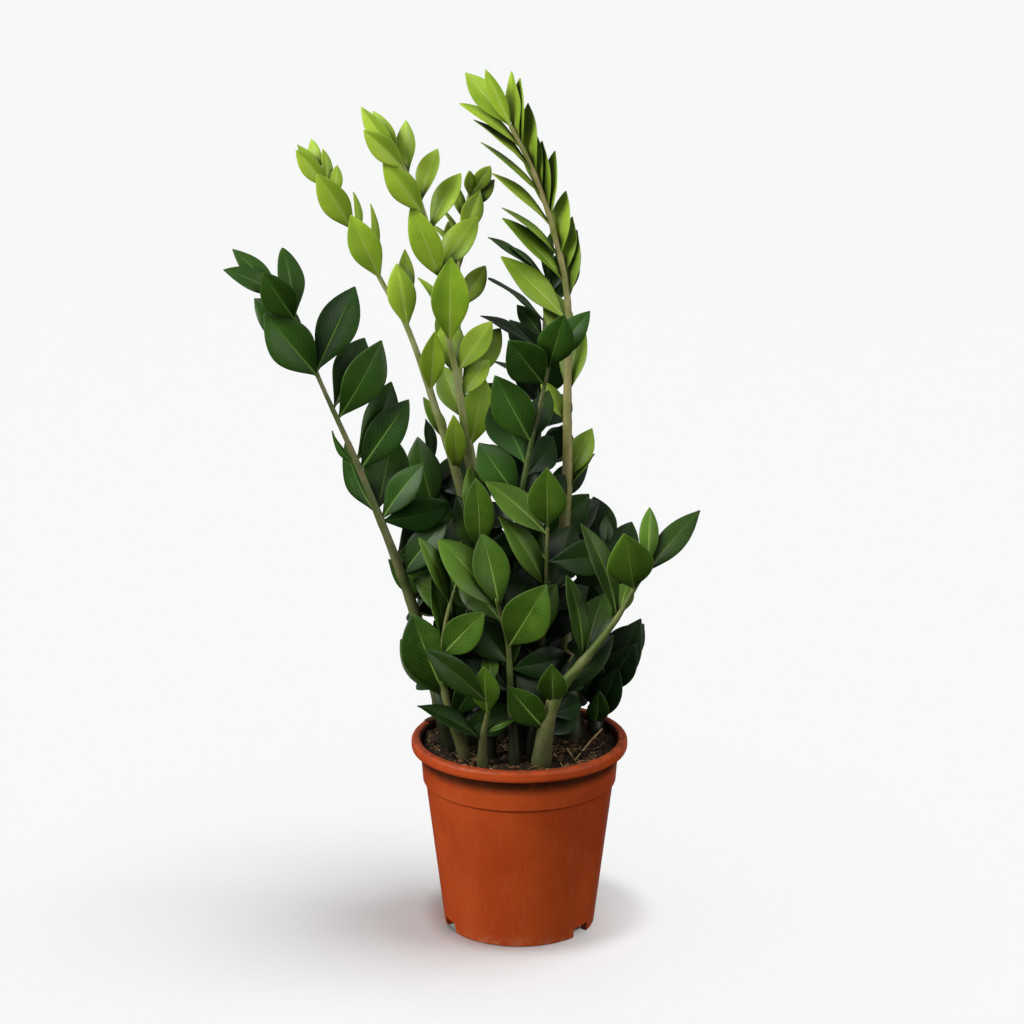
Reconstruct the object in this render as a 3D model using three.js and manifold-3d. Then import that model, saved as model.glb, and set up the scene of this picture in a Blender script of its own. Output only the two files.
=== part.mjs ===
// A potted ZZ plant: a plastic nursery pot, its soil, and fifteen leafy stalks (fronds).
// Millimetres, +Z up, the front of the plant towards -Y. The pot stands on z = 0, its axis on x = y = 0.

import * as THREE from "three";
import { mergeVertices } from "three/addons/utils/BufferGeometryUtils.js";
import Module from "manifold-3d";

const wasm = await Module();
wasm.setup();

// ---- Driving dimensions ----

// Pot: radii are of its outside, heights are above the surface that it stands on.
const POT_HEIGHT = 154;
const RIM_RADIUS = 85;
const RIM_HEIGHT = 9;
const RIM_BEVEL = 2; // at the rim's outer edges
const RIM_LAND = 4; // flat top of the rim
const LIP_BEVEL = 1.5; // at the rim's inner edge
const NECK_RADIUS = 78; // right below the rim
const STEP_HEIGHT = 118;
const STEP_RADIUS = 76; // right above the step in the wall
const STEP_DEPTH = 2;
const FOOT_RADIUS = 59.5;
const WALL = 1.6;
const FLOOR = 2.5;
const FOOT_HEIGHT = 3;
const FOOT_WIDTH = 5;
const SOLE = FOOT_HEIGHT + FLOOR; // height of the floor's upper face
const PAD_RADIUS = 16; // flat pad in the middle of the underside
const POT_SIDES = 28; // a multiple of four, so that the pot's corners and the soil's line up
const NOTCHES = 3;
const NOTCH_WIDTH = 18;
const NOTCH_HEIGHT = 8;
const NOTCH_TURN = -36; // degrees, of the first notch
const DRAINS = 4;
const DRAIN_RADIUS = 4.5;
const DRAIN_CIRCLE = 36;

// Soil
const SOIL_LEVEL = 146;
const SOIL_LUMP = 1.6;
const SOIL_RINGS = [66, 52, 36, 18];
const SOIL_EDGE_DEPTH = 6; // the soil's edge is as wide as the pot is this far down
const SOIL_EDGE_DROP = 1.5; // and lies this far below the rest
const MOUND = { x: -60, y: 4, height: 5, spread: 13 };
const GAP = 0.3; // between pieces that touch

// Stalks
const STALK_SIDES = 5;
const RING_EVERY = 60; // along the stalk
const STALK_TAPER = 1.6; // at 1 the stalk would narrow evenly from foot to tip
const ROOT_DEPTH = 50; // of the stalk below its first route point
const ROOT_PULL = 0.85; // the stalk's foot is this share as far from the pot's axis
const ROOT_TAPER = 0.7; // and this share as thick
const SWELL = 0.15; // extra share of the diameter at the soil
const SWELL_SPAN = 0.12;

// Leaflets
const BLADE = 0.8; // thickness
const STEM_SHARE = 0.07; // width of the leaf's base, as a share of the leaf's
const STEM_THICK = 1.5;
const FOLD = 12; // degrees that each half is raised from flat
const FOLDED_FROM = 24; // a leaf narrower than this is modelled flat
const ROWS = [0, 0.2, 0.48, 0.78]; // where the blade has a row of points; its tip is one point
const CLEAR = 0.45; // free space kept round a blade
const OWN_FROM = 0.25; // past this share of its length, a leaf also stays clear of its own frond
const LAST_SHARE = 0.985; // of the stalk, where the leaves at its tip start
const REACHES = [0, 7, 14, 22, 32, 44]; // degrees a leaf may be bent to stay clear
const DIRECTIONS = 8;
const LENGTHS = [1, 0.8, 0.62];

// The leaves that the front of the plant doesn't show are placed by this rule, with draws of -1 to 1.
const INNER = {
  heading: 60, // degrees to alternate sides, at the foot of the stalk
  rise: 25, // degrees less at its tip
  headingDraw: 12,
  toward: -22,
  towardDraw: 35,
  turnDraw: 20,
  length: 58,
  lengthDraw: 5,
};
const FIRST_SEED = 101;
const SEED_STEP = 13;

// A leaf is [share of the stalk, heading, toward, turn, length, width / length].
// Heading is in degrees clockwise from straight up, as seen from the front; toward is in degrees out to
// the front; turn is in degrees that the blade is rolled about its midrib. Width / length may be left
// out: then it is `broad`. `arch` is half the angle, in radians, that a blade curves back.
// `inner` is [from share, to share, count].
const FRONDS = [
  {
    name: "front_small", tone: "mid", broad: 0.48, arch: 0.25, thick: 7.5, tip: 2.6,
    inner: [0.5, 0.9, 0],
    route: [[-29, -50, 152], [-28, -55, 173], [-24, -62, 197], [-22, -67, 218]],
    leaves: [
      [0.25, -43, 18, 62, 62, 0.34], [0.35, 54, 10, -50, 27, 0.3], [0.6, -3, 30, 0, 46],
      [0.76, -33, 38, 24, 82, 0.27], [1, -2, -35, 0, 31, 0.45],
    ],
  },
  {
    name: "front_left", tone: "mid", broad: 0.5, arch: 0.3, thick: 9, tip: 2.8,
    inner: [0.3, 0.9, 1],
    route: [[-43, -38, 152], [-54, -45, 191], [-60, -52, 226], [-56, -60, 266], [-49, -66, 294]],
    leaves: [
      [0.36, -22, 20, -10, 73, 0.55], [0.34, -36, -5, 10, 60, 0.45], [0.65, 5, -5, 55, 55, 0.45],
      [0.58, 27, 0, 80, 50, 0.3], [0.9, -10, 10, 50, 59, 0.32], [1, -2, -20, 0, 40, 0.45],
      [0.3, 35, -10, 0, 50, 0.45], [0.18, -23, 8, 0, 43, 0.6], [0.22, 1, -15, 20, 47, 0.5],
    ],
  },
  {
    name: "front_centre", tone: "mid", broad: 0.5, arch: 0.3, thick: 8.5, tip: 2.8,
    inner: [0.25, 0.9, 4],
    route: [[-4, -45, 153], [-7, -52, 210], [-9, -59, 248], [-14, -66, 272], [-18, -74, 289]],
    leaves: [
      [0.67, 25, 40, 0, 71, 0.54], [0.9, -8, 8, 15, 62, 0.46], [0.9, -30, 5, 35, 73, 0.5],
      [0.56, -38, 15, 10, 55, 0.62],
    ],
  },
  {
    name: "right_low", tone: "mid", broad: 0.46, arch: 0.35, thick: 14, tip: 3.2,
    inner: [0.3, 0.8, 0],
    route: [
      [17, -48, 152], [22, -53, 188], [31, -59, 212], [52, -69, 243], [71, -78, 272], [88, -86, 305],
      [97, -90, 319],
    ],
    leaves: [
      [0.13, -33, 30, 0, 53, 0.5], [0.26, -2, 30, 0, 47, 0.5], [0.27, 40, 0, -10, 70, 0.34],
      [0.48, 4, 10, 45, 71, 0.3], [0.5, 7, -10, -20, 57, 0.55], [0.73, -5, 10, 50, 80, 0.3],
      [0.74, 19, -20, 0, 32, 0.5], [0.88, -9, 50, 0, 62, 0.6], [0.96, 37, 0, -15, 65, 0.32],
      [0.98, 2, 0, 0, 48, 0.32], [0.16, -13, -5, 20, 62, 0.5],
    ],
  },
  {
    name: "mid_right", tone: "mid", broad: 0.5, arch: 0.25, thick: 9, tip: 2.6,
    inner: [0.2, 0.9, 6],
    route: [[10, -30, 155], [16, -36, 233], [20, -42, 289], [21, -48, 340]],
    leaves: [
      [1, -1, 38, 0, 58, 0.55], [0.95, -40, 5, 35, 63, 0.42], [0.71, -19, 5, 55, 71, 0.4],
      [0.55, -24, -30, 10, 60, 0.6], [0.67, 22, -15, 0, 63, 0.55], [0.44, 27, -15, 0, 53, 0.5],
    ],
  },
  {
    name: "mid_left", tone: "mid", broad: 0.5, arch: 0.3, thick: 9, tip: 2.6,
    inner: [0.2, 0.9, 6],
    route: [[-23, -30, 155], [-28, -34, 243], [-28, -36, 295], [-34, -38, 330]],
    leaves: [
      [0.9, 2, 30, 15, 67, 0.38], [0.86, -22, 5, 10, 56, 0.42], [1, 4, -5, 30, 55, 0.42],
      [0.78, 25, 0, -10, 44],
    ],
  },
  {
    name: "far_left", tone: "dark", broad: 0.5, arch: 0.35, thick: 13, tip: 2.2,
    inner: [0.3, 0.6, 0],
    route: [
      [-55, -18, 155], [-68, -24, 218], [-82, -31, 270], [-101, -40, 329], [-125, -50, 395],
      [-148, -60, 453], [-164, -68, 499], [-183, -76, 532],
    ],
    leaves: [
      [0.79, -33, 28, 8, 65, 0.55], [0.7, 35, 10, 20, 69, 0.5], [0.59, 34, 8, 0, 66, 0.42],
      [0.5, 12, -5, 0, 60, 0.6], [0.48, 28, 20, -20, 58, 0.42], [0.49, -41, -8, -40, 74, 0.42],
      [0.6, -58, -15, -60, 35, 0.45], [0.61, 36, -15, 30, 71, 0.45], [0.72, 24, -15, 0, 65, 0.45],
      [0.8, 24, 0, 0, 72, 0.45], [0.85, -43, 20, 10, 55, 0.5], [0.91, -26, 45, 0, 50, 0.52],
      [0.91, -9, 0, 25, 55, 0.4], [0.95, -37, 0, 20, 55, 0.3], [0.96, -47, 10, 40, 48, 0.42],
      [0.4, 45, -25, 0, 62], [0.36, 20, 10, -20, 58, 0.45], [0.31, 70, -10, -20, 50],
    ],
  },
  {
    name: "light_mid", tone: "light", broad: 0.46, arch: 0.3, thick: 13, tip: 2.8,
    inner: [0.6, 0.85, 0],
    route: [
      [-19, 14, 152], [-26, 15, 261], [-38, 12, 363], [-47, 6, 436], [-53, 2, 467], [-60, -8, 524],
      [-75, -22, 584], [-93, -34, 621],
    ],
    leaves: [
      [0.66, 1, 15, 0, 73, 0.41], [0.77, -19, 32, 0, 66, 0.37], [0.88, -33, 34, 0, 56, 0.38],
      [0.96, -38, 28, 10, 47, 0.4], [0.98, -37, 12, -10, 49, 0.32], [0.95, -9, -5, -20, 43, 0.36],
      [0.9, 8, -5, -32, 44, 0.44], [0.85, 18, 0, -35, 51, 0.42], [0.78, 21, 5, -28, 52, 0.5],
      [0.7, -22, -15, 50, 42, 0.3], [0.61, 32, -5, -10, 50, 0.42], [0.57, 36, -5, -10, 38, 0.42],
      [0.6, -12, -20, 0, 52], [0.98, -29, -8, 0, 44, 0.34],
    ],
  },
  {
    name: "light_left", tone: "light", broad: 0.42, arch: 0.25, thick: 15, tip: 2.4,
    inner: [0.6, 0.9, 0],
    route: [
      [-36, 3, 154], [-36, 4, 256], [-44, 6, 344], [-64, 14, 413], [-85, 22, 474], [-103, 26, 507],
      [-128, 34, 552], [-148, 38, 583], [-156, 40, 596],
    ],
    leaves: [
      [0.45, 0, 10, 10, 48, 0.36], [0.5, -22, -10, 30, 46, 0.3], [0.59, 4, 12, 0, 52, 0.38],
      [0.7, -9, 12, 0, 52, 0.43], [0.73, 14, -15, 40, 51, 0.35], [0.79, -22, 22, 0, 58, 0.44],
      [0.82, 11, -20, 60, 49, 0.3], [0.88, -29, 28, 0, 56, 0.4], [0.87, 7, -15, 60, 36, 0.3],
      [0.96, -33, 22, 10, 40, 0.4], [0.94, 4, -5, 0, 27, 0.4], [0.97, -28, 8, 20, 37, 0.32],
      [0.96, 2, -5, 40, 32, 0.35], [0.98, -18, -4, -10, 35, 0.32], [0.62, 30, -25, 0, 44, 0.4],
    ],
  },
  {
    name: "tall_right", tone: "light", broad: 0.4, arch: 0.15, thick: 14, tip: 3.6,
    inner: [0.4, 0.8, 0],
    route: [
      [42, 18, 149], [37, 20, 226], [34, 24, 290], [37, 28, 354], [37, 32, 417], [37, 38, 493],
      [27, 42, 544], [11, 44, 592], [-9, 46, 632],
    ],
    leaves: [
      [0.42, 15, -5, -20, 45, 0.5], [0.4, 30, -10, -65, 37], [0.51, -12, 5, 40, 39, 0.45],
      [0.55, 3, -12, -30, 60, 0.42], [0.62, -15, -10, 30, 56, 0.5], [0.67, -41, 5, 30, 73, 0.34],
      [0.73, -36, 5, 60, 71, 0.32], [0.7, 1, -10, -48, 57, 0.42], [0.77, -41, 0, 72, 60, 0.34],
      [0.77, -2, -5, -48, 52, 0.44], [0.82, -40, 5, 66, 64, 0.3], [0.83, -3, -5, -48, 54, 0.4],
      [0.87, -40, 5, 74, 64, 0.32], [0.84, -12, -5, -50, 57, 0.42], [0.91, -40, 5, 74, 62, 0.32],
      [0.9, -13, -5, -52, 58, 0.4], [0.95, -46, 5, 64, 60, 0.32], [0.95, -9, 0, -54, 54, 0.36],
      [0.96, -20, 0, -50, 55, 0.32], [0.99, -25, 12, -10, 50, 0.26], [0.99, -39, -8, 10, 57, 0.36],
      [0.87, -8, -14, -40, 54, 0.4], [0.74, 2, -14, -40, 48, 0.42],
    ],
  },
  {
    name: "light_short", tone: "light", broad: 0.45, arch: 0.3, thick: 11, tip: 2.4,
    inner: [0.5, 0.8, 0],
    route: [
      [-9, 22, 152], [-22, 28, 256], [-35, 36, 360], [-44, 42, 406], [-47, 48, 461], [-47, 54, 521],
      [-43, 58, 552], [-38, 60, 578],
    ],
    leaves: [
      [0.53, 11, 5, 0, 57, 0.48], [0.64, 25, -10, -10, 59, 0.42], [0.68, -15, -20, 30, 50],
      [0.78, 25, -10, 0, 43, 0.42], [0.84, -5, -10, 20, 46, 0.4], [0.88, -30, -10, 60, 35, 0.25],
      [0.9, -16, -10, 60, 34, 0.25], [0.91, 24, 10, 10, 40], [0.94, -10, -5, 30, 34, 0.35],
      [0.96, 34, 5, 0, 34, 0.4], [0.98, 30, -5, 0, 33, 0.42], [1, 10, 0, 30, 21, 0.5],
      [0.58, -25, -20, 0, 52],
    ],
  },
  {
    name: "centre_dark", tone: "dark", broad: 0.52, arch: 0.3, thick: 10, tip: 3,
    inner: [0.3, 0.7, 4],
    route: [[2, -20, 153], [-3, -26, 257], [-1, -32, 338], [6, -38, 387], [16, -46, 436], [23, -52, 469]],
    leaves: [
      [0.97, 13, 40, 0, 52, 0.55], [0.93, -32, 45, 0, 55, 0.6], [0.78, -26, 15, 0, 61],
      [0.63, -25, 15, 0, 55, 0.55], [1, 32, 10, -15, 50, 0.42], [0.72, -21, 0, 160, 61, 0.62],
      [0.77, 13, -15, -20, 48, 0.45], [0.58, 8, -10, -10, 61, 0.45],
    ],
  },
  {
    name: "back_dark", tone: "dark", broad: 0.5, arch: 0.2, thick: 11, tip: 3,
    inner: [0.35, 0.8, 5],
    route: [[21, 45, 147], [16, 52, 250], [14, 62, 329], [16, 72, 407], [20, 82, 468], [23, 88, 504]],
    leaves: [
      [0.76, -52, 0, 75, 46, 0.4], [0.83, -50, 5, 78, 60, 0.4], [0.86, -32, -10, 30, 36],
      [0.9, -40, 5, 80, 58, 0.4], [0.92, 28, -20, -40, 50], [0.95, 10, -10, -40, 46],
      [0.98, -39, 5, 82, 62, 0.35], [1, -36, 0, 80, 46, 0.3], [1, -5, 0, -60, 42],
    ],
  },
  {
    name: "right_back", tone: "dark", broad: 0.5, arch: 0.3, thick: 11, tip: 3,
    inner: [0.2, 0.8, 3],
    route: [[60, 28, 149], [64, 38, 203], [66, 50, 246], [67, 62, 290]],
    leaves: [
      [0.15, 24, 0, -10, 77, 0.42], [0.17, 35, 10, -10, 56], [0.78, 25, -5, 0, 59],
      [0.88, -8, -10, 0, 66], [1, 10, -5, 20, 28], [0.5, 9, -10, 0, 63], [0.45, -15, -10, 0, 60],
      [0.02, -24, 10, 10, 39, 0.5], [0.04, 17, 8, -10, 51, 0.5], [0.1, -9, 5, 0, 59, 0.45],
    ],
  },
  {
    name: "left_back", tone: "dark", broad: 0.5, arch: 0.3, thick: 10, tip: 3,
    inner: [0.25, 0.9, 4],
    route: [[-46, 28, 152], [-57, 38, 220], [-63, 48, 284], [-68, 56, 331], [-71, 60, 360]],
    leaves: [
      [0.6, -12, 0, 0, 75, 0.55], [0.9, -7, -10, 70, 32, 0.3], [1, 9, -10, 55, 39, 0.45],
      [0.75, -47, -10, 0, 34], [0.8, 15, -10, 0, 60], [0.45, -35, 0, 0, 60],
    ],
  },
];

// Colour and roughness
const POT_FINISH = [0xb04a24, 0.4];
const SOIL_FINISH = [0x3b271a, 0.95];
const LEAF_FINISH = { light: [0x8cae35, 0.45], mid: [0x4c7c2b, 0.4], dark: [0x24502a, 0.35] };

// ---- Solids ----

// A closed geometry as a manifold-3d solid.
function solidOf(geometry) {
  geometry.deleteAttribute("normal");
  geometry.deleteAttribute("uv");
  const merged = mergeVertices(geometry, 1e-4);
  const corners = [];
  for (let i = 0; i < merged.index.count; i += 3) {
    const [a, b, c] = merged.index.array.slice(i, i + 3);
    if (a !== b && b !== c && c !== a) corners.push(a, b, c);
  }
  const mesh = new wasm.Mesh({
    numProp: 3,
    vertProperties: merged.attributes.position.array,
    triVerts: new Uint32Array(corners),
  });
  return new wasm.Manifold(mesh);
}

function geometryOf(solid) {
  const mesh = solid.getMesh();
  const geometry = new THREE.BufferGeometry();
  geometry.setAttribute("position", new THREE.BufferAttribute(mesh.vertProperties, 3));
  geometry.setIndex(new THREE.BufferAttribute(mesh.triVerts, 1));
  geometry.computeVertexNormals();
  return geometry;
}

function indexed(points, faces) {
  const geometry = new THREE.BufferGeometry();
  const numbers = points.flatMap((p) => [p.x, p.y, p.z]);
  geometry.setAttribute("position", new THREE.Float32BufferAttribute(numbers, 3));
  geometry.setIndex(faces);
  return geometry;
}

// A closed surface through rings of points that run counter-clockwise, from the lowest ring to the last.
function loft(rings) {
  const sides = rings[0].length;
  const last = (rings.length - 1) * sides;
  const faces = [];
  for (let r = 0; r < last; r += sides) {
    for (let i = 0; i < sides; i++) {
      const j = (i + 1) % sides;
      faces.push(r + i, r + j, r + sides + j, r + i, r + sides + j, r + sides + i);
    }
  }
  for (let i = 1; i < sides - 1; i++) faces.push(0, i + 1, i, last, last + i, last + i + 1);
  return solidOf(indexed(rings.flat(), faces));
}

const radians = THREE.MathUtils.degToRad;

function polar(radius, angle, z) {
  return new THREE.Vector3(radius * Math.cos(angle), radius * Math.sin(angle), z);
}

// ---- Pot ----

function potProfile() {
  const rimBase = POT_HEIGHT - RIM_HEIGHT;
  const underStep = STEP_RADIUS - STEP_DEPTH;
  return [
    [0, 0],
    [PAD_RADIUS, 0],
    [PAD_RADIUS, FOOT_HEIGHT],
    [FOOT_RADIUS - FOOT_WIDTH, FOOT_HEIGHT],
    [FOOT_RADIUS - FOOT_WIDTH, 0],
    [FOOT_RADIUS, 0],
    [underStep, STEP_HEIGHT],
    [STEP_RADIUS, STEP_HEIGHT + 1],
    [NECK_RADIUS, rimBase],
    [RIM_RADIUS - RIM_BEVEL, rimBase],
    [RIM_RADIUS, rimBase + RIM_BEVEL],
    [RIM_RADIUS, POT_HEIGHT - RIM_BEVEL],
    [RIM_RADIUS - RIM_BEVEL, POT_HEIGHT],
    [RIM_RADIUS - RIM_BEVEL - RIM_LAND, POT_HEIGHT],
    [RIM_RADIUS - RIM_BEVEL - RIM_LAND - LIP_BEVEL, POT_HEIGHT - LIP_BEVEL],
    ...innerProfile().reverse(),
    [0, SOLE],
  ];
}

// The inside of the wall as [radius, height], from the floor up.
function innerProfile() {
  const underStep = STEP_RADIUS - STEP_DEPTH;
  return [
    [FOOT_RADIUS - WALL, SOLE],
    [underStep - WALL, STEP_HEIGHT + 1],
    [STEP_RADIUS - WALL, STEP_HEIGHT + 2],
    [NECK_RADIUS - WALL, POT_HEIGHT - RIM_HEIGHT],
  ];
}

function innerRadius(z) {
  const profile = innerProfile();
  const above = profile.findIndex((p) => p[1] >= z);
  const [low, high] = profile.slice(above - 1, above + 1);
  return THREE.MathUtils.mapLinear(z, low[1], high[1], low[0], high[0]);
}

function potSolid() {
  const outline = potProfile().map(([r, z]) => new THREE.Vector2(r, z));
  const lathe = new THREE.LatheGeometry(outline, POT_SIDES);
  lathe.rotateX(Math.PI / 2);
  let pot = solidOf(lathe);
  for (let i = 0; i < NOTCHES; i++) {
    const notch = new THREE.BoxGeometry(FOOT_WIDTH * 3, NOTCH_WIDTH, NOTCH_HEIGHT * 2);
    notch.translate(FOOT_RADIUS, 0, 0);
    notch.rotateZ(radians(NOTCH_TURN) + (i * 2 * Math.PI) / NOTCHES);
    pot = pot.subtract(solidOf(notch));
  }
  for (let i = 0; i < DRAINS; i++) {
    const drain = new THREE.CylinderGeometry(DRAIN_RADIUS, DRAIN_RADIUS, 4 * FLOOR, 8);
    drain.rotateX(Math.PI / 2);
    const place = polar(DRAIN_CIRCLE, ((i + 0.5) * 2 * Math.PI) / DRAINS, FOOT_HEIGHT);
    drain.translate(place.x, place.y, place.z);
    pot = pot.subtract(solidOf(drain));
  }
  return pot;
}

// ---- Soil ----

function soilTop(x, y) {
  const lumps = Math.sin(x * 0.21 + 1.3) * Math.cos(y * 0.17) + 0.6 * Math.sin(x * 0.11 - y * 0.23 + 2);
  const reach = Math.hypot(x - MOUND.x, y - MOUND.y) / MOUND.spread;
  return SOIL_LEVEL + SOIL_LUMP * lumps + MOUND.height * Math.exp(-reach * reach);
}

function soilSolid() {
  const circle = (radius, height) =>
    Array.from({ length: POT_SIDES }, (_, i) => {
      const p = polar(radius, (i * 2 * Math.PI) / POT_SIDES, 0);
      return p.setZ(height(p.x, p.y));
    });
  const rings = [
    ...innerProfile().slice(0, -1).map(([radius, z]) => circle(radius - GAP, () => z + GAP)),
    circle(innerRadius(SOIL_LEVEL - SOIL_EDGE_DEPTH) - GAP, (x, y) => soilTop(x, y) - SOIL_EDGE_DROP),
    ...SOIL_RINGS.map((radius) => circle(radius, soilTop)),
  ];
  return loft(rings);
}

// ---- Stalks and leaflets ----

// Points along a smooth curve through the frond's route, by share of its length.
class Stalk {
  constructor(frond) {
    this.frond = frond;
    this.curve = new THREE.CatmullRomCurve3(
      frond.route.map((p) => new THREE.Vector3(...p)),
      false,
      "catmullrom",
      0.5,
    );
    this.curve.arcLengthDivisions = 400;
    this.length = this.curve.getLength();
  }

  at(share) {
    return this.curve.getPointAt(share);
  }

  diameter(share) {
    const { thick, tip } = this.frond;
    const swell = 1 + SWELL * Math.max(0, 1 - share / SWELL_SPAN);
    return (tip + (thick - tip) * (1 - share) ** STALK_TAPER) * swell;
  }

  ring(centre, along, radius) {
    const across = new THREE.Vector3(1, 0, 0).projectOnPlane(along).normalize();
    const other = new THREE.Vector3().crossVectors(along, across);
    return Array.from({ length: STALK_SIDES }, (_, i) => {
      const angle = (i * 2 * Math.PI) / STALK_SIDES;
      return centre
        .clone()
        .addScaledVector(across, radius * Math.cos(angle))
        .addScaledVector(other, radius * Math.sin(angle));
    });
  }

  // `extra` widens and lengthens the stalk, for the hole that it stands in.
  solid(extra = 0) {
    const up = new THREE.Vector3(0, 0, 1);
    const foot = this.at(0).multiply(new THREE.Vector3(ROOT_PULL, ROOT_PULL, 1));
    foot.z -= ROOT_DEPTH + extra;
    const rings = [this.ring(foot, up, (this.diameter(0) / 2) * ROOT_TAPER + extra)];
    const steps = Math.ceil(this.length / RING_EVERY);
    for (let i = 0; i <= steps; i++) {
      const share = i / steps;
      const along = this.curve.getTangentAt(share);
      rings.push(this.ring(this.at(share), along, this.diameter(share) / 2 + extra));
    }
    return loft(rings);
  }
}

// Draws between -1 and 1, the same in every run.
function draws(seed) {
  let state = seed;
  return () => {
    state = (state * 16807) % 2147483647;
    return (state / 2147483647) * 2 - 1;
  };
}

// The leaves that a frond's own list leaves out: they alternate, spread and lean back into the bush.
function innerLeaves(frond, seed) {
  const [from, to, count] = frond.inner;
  const draw = draws(seed);
  return Array.from({ length: count }, (_, i) => {
    const share = from + ((to - from) * (i + 0.5)) / count;
    const side = i % 2 ? -1 : 1;
    const heading = (INNER.heading - INNER.rise * share + INNER.headingDraw * draw()) * side;
    const toward = INNER.toward + INNER.towardDraw * draw();
    const turn = INNER.turnDraw * draw();
    const length = INNER.length + INNER.lengthDraw * draw();
    return [share, heading, toward, turn, length];
  });
}

// A leaf's base, direction and upper face. `bend` is [heading, toward] in degrees, on top of its own.
function leafOf(stalk, row, bend = [0, 0], shorten = 1) {
  const [share, heading, toward, turn, length, broad = stalk.frond.broad] = row;
  const h = radians(heading + bend[0]);
  const t = radians(toward + bend[1]);
  const along = new THREE.Vector3(Math.sin(h) * Math.cos(t), -Math.sin(t), Math.cos(h) * Math.cos(t));
  const face = new THREE.Vector3(0, -1, 0.15).projectOnPlane(along).normalize();
  face.applyAxisAngle(along, radians(turn));
  const across = new THREE.Vector3().crossVectors(along, face);
  const base = stalk.at(Math.min(share, LAST_SHARE));
  const size = length * shorten;
  return { base, along, face, across, length: size, width: size * broad, bend: 2 * stalk.frond.arch };
}

function halfWidth(leaf, u) {
  const bulge = Math.sin(Math.PI * Math.min(u, 1)) ** (u < 0.5 ? 1.15 : 0.9);
  return (leaf.width / 2) * Math.max(STEM_SHARE, bulge);
}

// A point of the blade: u runs from base to tip, v from the left edge (-1) to the right edge (1).
function bladePoint(leaf, u, v, lift, extra) {
  const turned = leaf.bend * u;
  const radius = leaf.length / leaf.bend;
  const up = leaf.face.clone().multiplyScalar(Math.cos(turned));
  up.addScaledVector(leaf.along, Math.sin(turned));
  const half = u < 1 ? halfWidth(leaf, u) + extra : 0;
  const fold = leaf.width < FOLDED_FROM ? 0 : radians(FOLD);
  return leaf.base
    .clone()
    .addScaledVector(leaf.along, radius * Math.sin(turned))
    .addScaledVector(leaf.face, -radius * (1 - Math.cos(turned)))
    .addScaledVector(leaf.across, v * half * Math.cos(fold))
    .addScaledVector(up, Math.abs(v) * half * Math.sin(fold) + lift);
}

// The blade as a thin closed body, from share `from` of its length; `extra` makes it larger all round.
function bladeSolid(leaf, from = 0, extra = 0) {
  const rows = ROWS.filter((u) => u >= from);
  if (rows[0] > from) rows.unshift(from);
  const columns = leaf.width < FOLDED_FROM ? [-1, 1] : [-1, 0, 1];
  const points = [];
  for (const face of [1, -1]) {
    for (const u of rows) {
      const thick = u === 0 ? STEM_THICK : BLADE;
      for (const v of columns) {
        points.push(bladePoint(leaf, u, v, face * (thick / 2 + extra), extra));
      }
    }
  }
  const tip = points.length;
  points.push(bladePoint(leaf, 1 + extra / leaf.length, 0, 0, 0));
  const n = columns.length;
  const under = rows.length * n; // first point of the lower face
  const end = under - n; // first point of the row next to the tip
  const quad = (a, b, c, d) => [a, b, c, a, c, d];
  const faces = [];
  for (let r = 0; r < end; r += n) {
    for (let c = r; c < r + n - 1; c++) {
      faces.push(...quad(c, c + 1, c + n + 1, c + n));
      const [a, b, d, e] = [c, c + n, c + n + 1, c + 1].map((i) => under + i);
      faces.push(a, b, d, a, d, e);
    }
    const right = r + n - 1;
    faces.push(...quad(r, r + n, under + r + n, under + r));
    faces.push(...quad(right, under + right, under + right + n, right + n));
  }
  for (let c = 0; c < n - 1; c++) {
    faces.push(...quad(c, under + c, under + c + 1, c + 1));
    faces.push(end + c, end + c + 1, tip, under + end + c, tip, under + end + c + 1);
  }
  faces.push(end, tip, under + end, under - 1, 2 * under - 1, tip);
  return solidOf(indexed(points, faces));
}

// ---- Every leaf is bent clear of what is there before it ----

function overlaps(a, boxA, b) {
  const apart = [0, 1, 2].some((i) => boxA.min[i] > b.box.max[i] || b.box.min[i] > boxA.max[i]);
  return !apart && !a.intersect(b.solid).isEmpty();
}

function bends() {
  const list = [];
  for (const reach of REACHES) {
    for (let i = 0; i < (reach ? DIRECTIONS : 1); i++) {
      const angle = (i * 2 * Math.PI) / DIRECTIONS;
      list.push([reach * Math.sin(angle), reach * Math.cos(angle)]);
    }
  }
  return list;
}

const taken = []; // { name, solid, box }

function take(name, solid) {
  taken.push({ name, solid, box: solid.boundingBox() });
}

function isClear(name, leaf) {
  const whole = bladeSolid(leaf, 0, CLEAR);
  const box = whole.boundingBox();
  if (taken.some((t) => t.name !== name && overlaps(whole, box, t))) return false;
  const outer = bladeSolid(leaf, OWN_FROM, 0);
  const outerBox = outer.boundingBox();
  return !taken.some((t) => t.name === name && overlaps(outer, outerBox, t));
}

function fitLeaf(stalk, row) {
  for (const shorten of LENGTHS) {
    for (const bend of bends()) {
      const leaf = leafOf(stalk, row, bend, shorten);
      if (isClear(stalk.frond.name, leaf)) return leaf;
    }
  }
  return null;
}

const stalks = FRONDS.map((frond) => new Stalk(frond));
const blades = new Map(stalks.map((stalk) => [stalk, []]));

// A leaf that finds no clear place is left out.
function place(stalk, row) {
  const leaf = fitLeaf(stalk, row);
  if (!leaf) return;
  const solid = bladeSolid(leaf);
  blades.get(stalk).push(solid);
  take(stalk.frond.name, solid);
}

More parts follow.
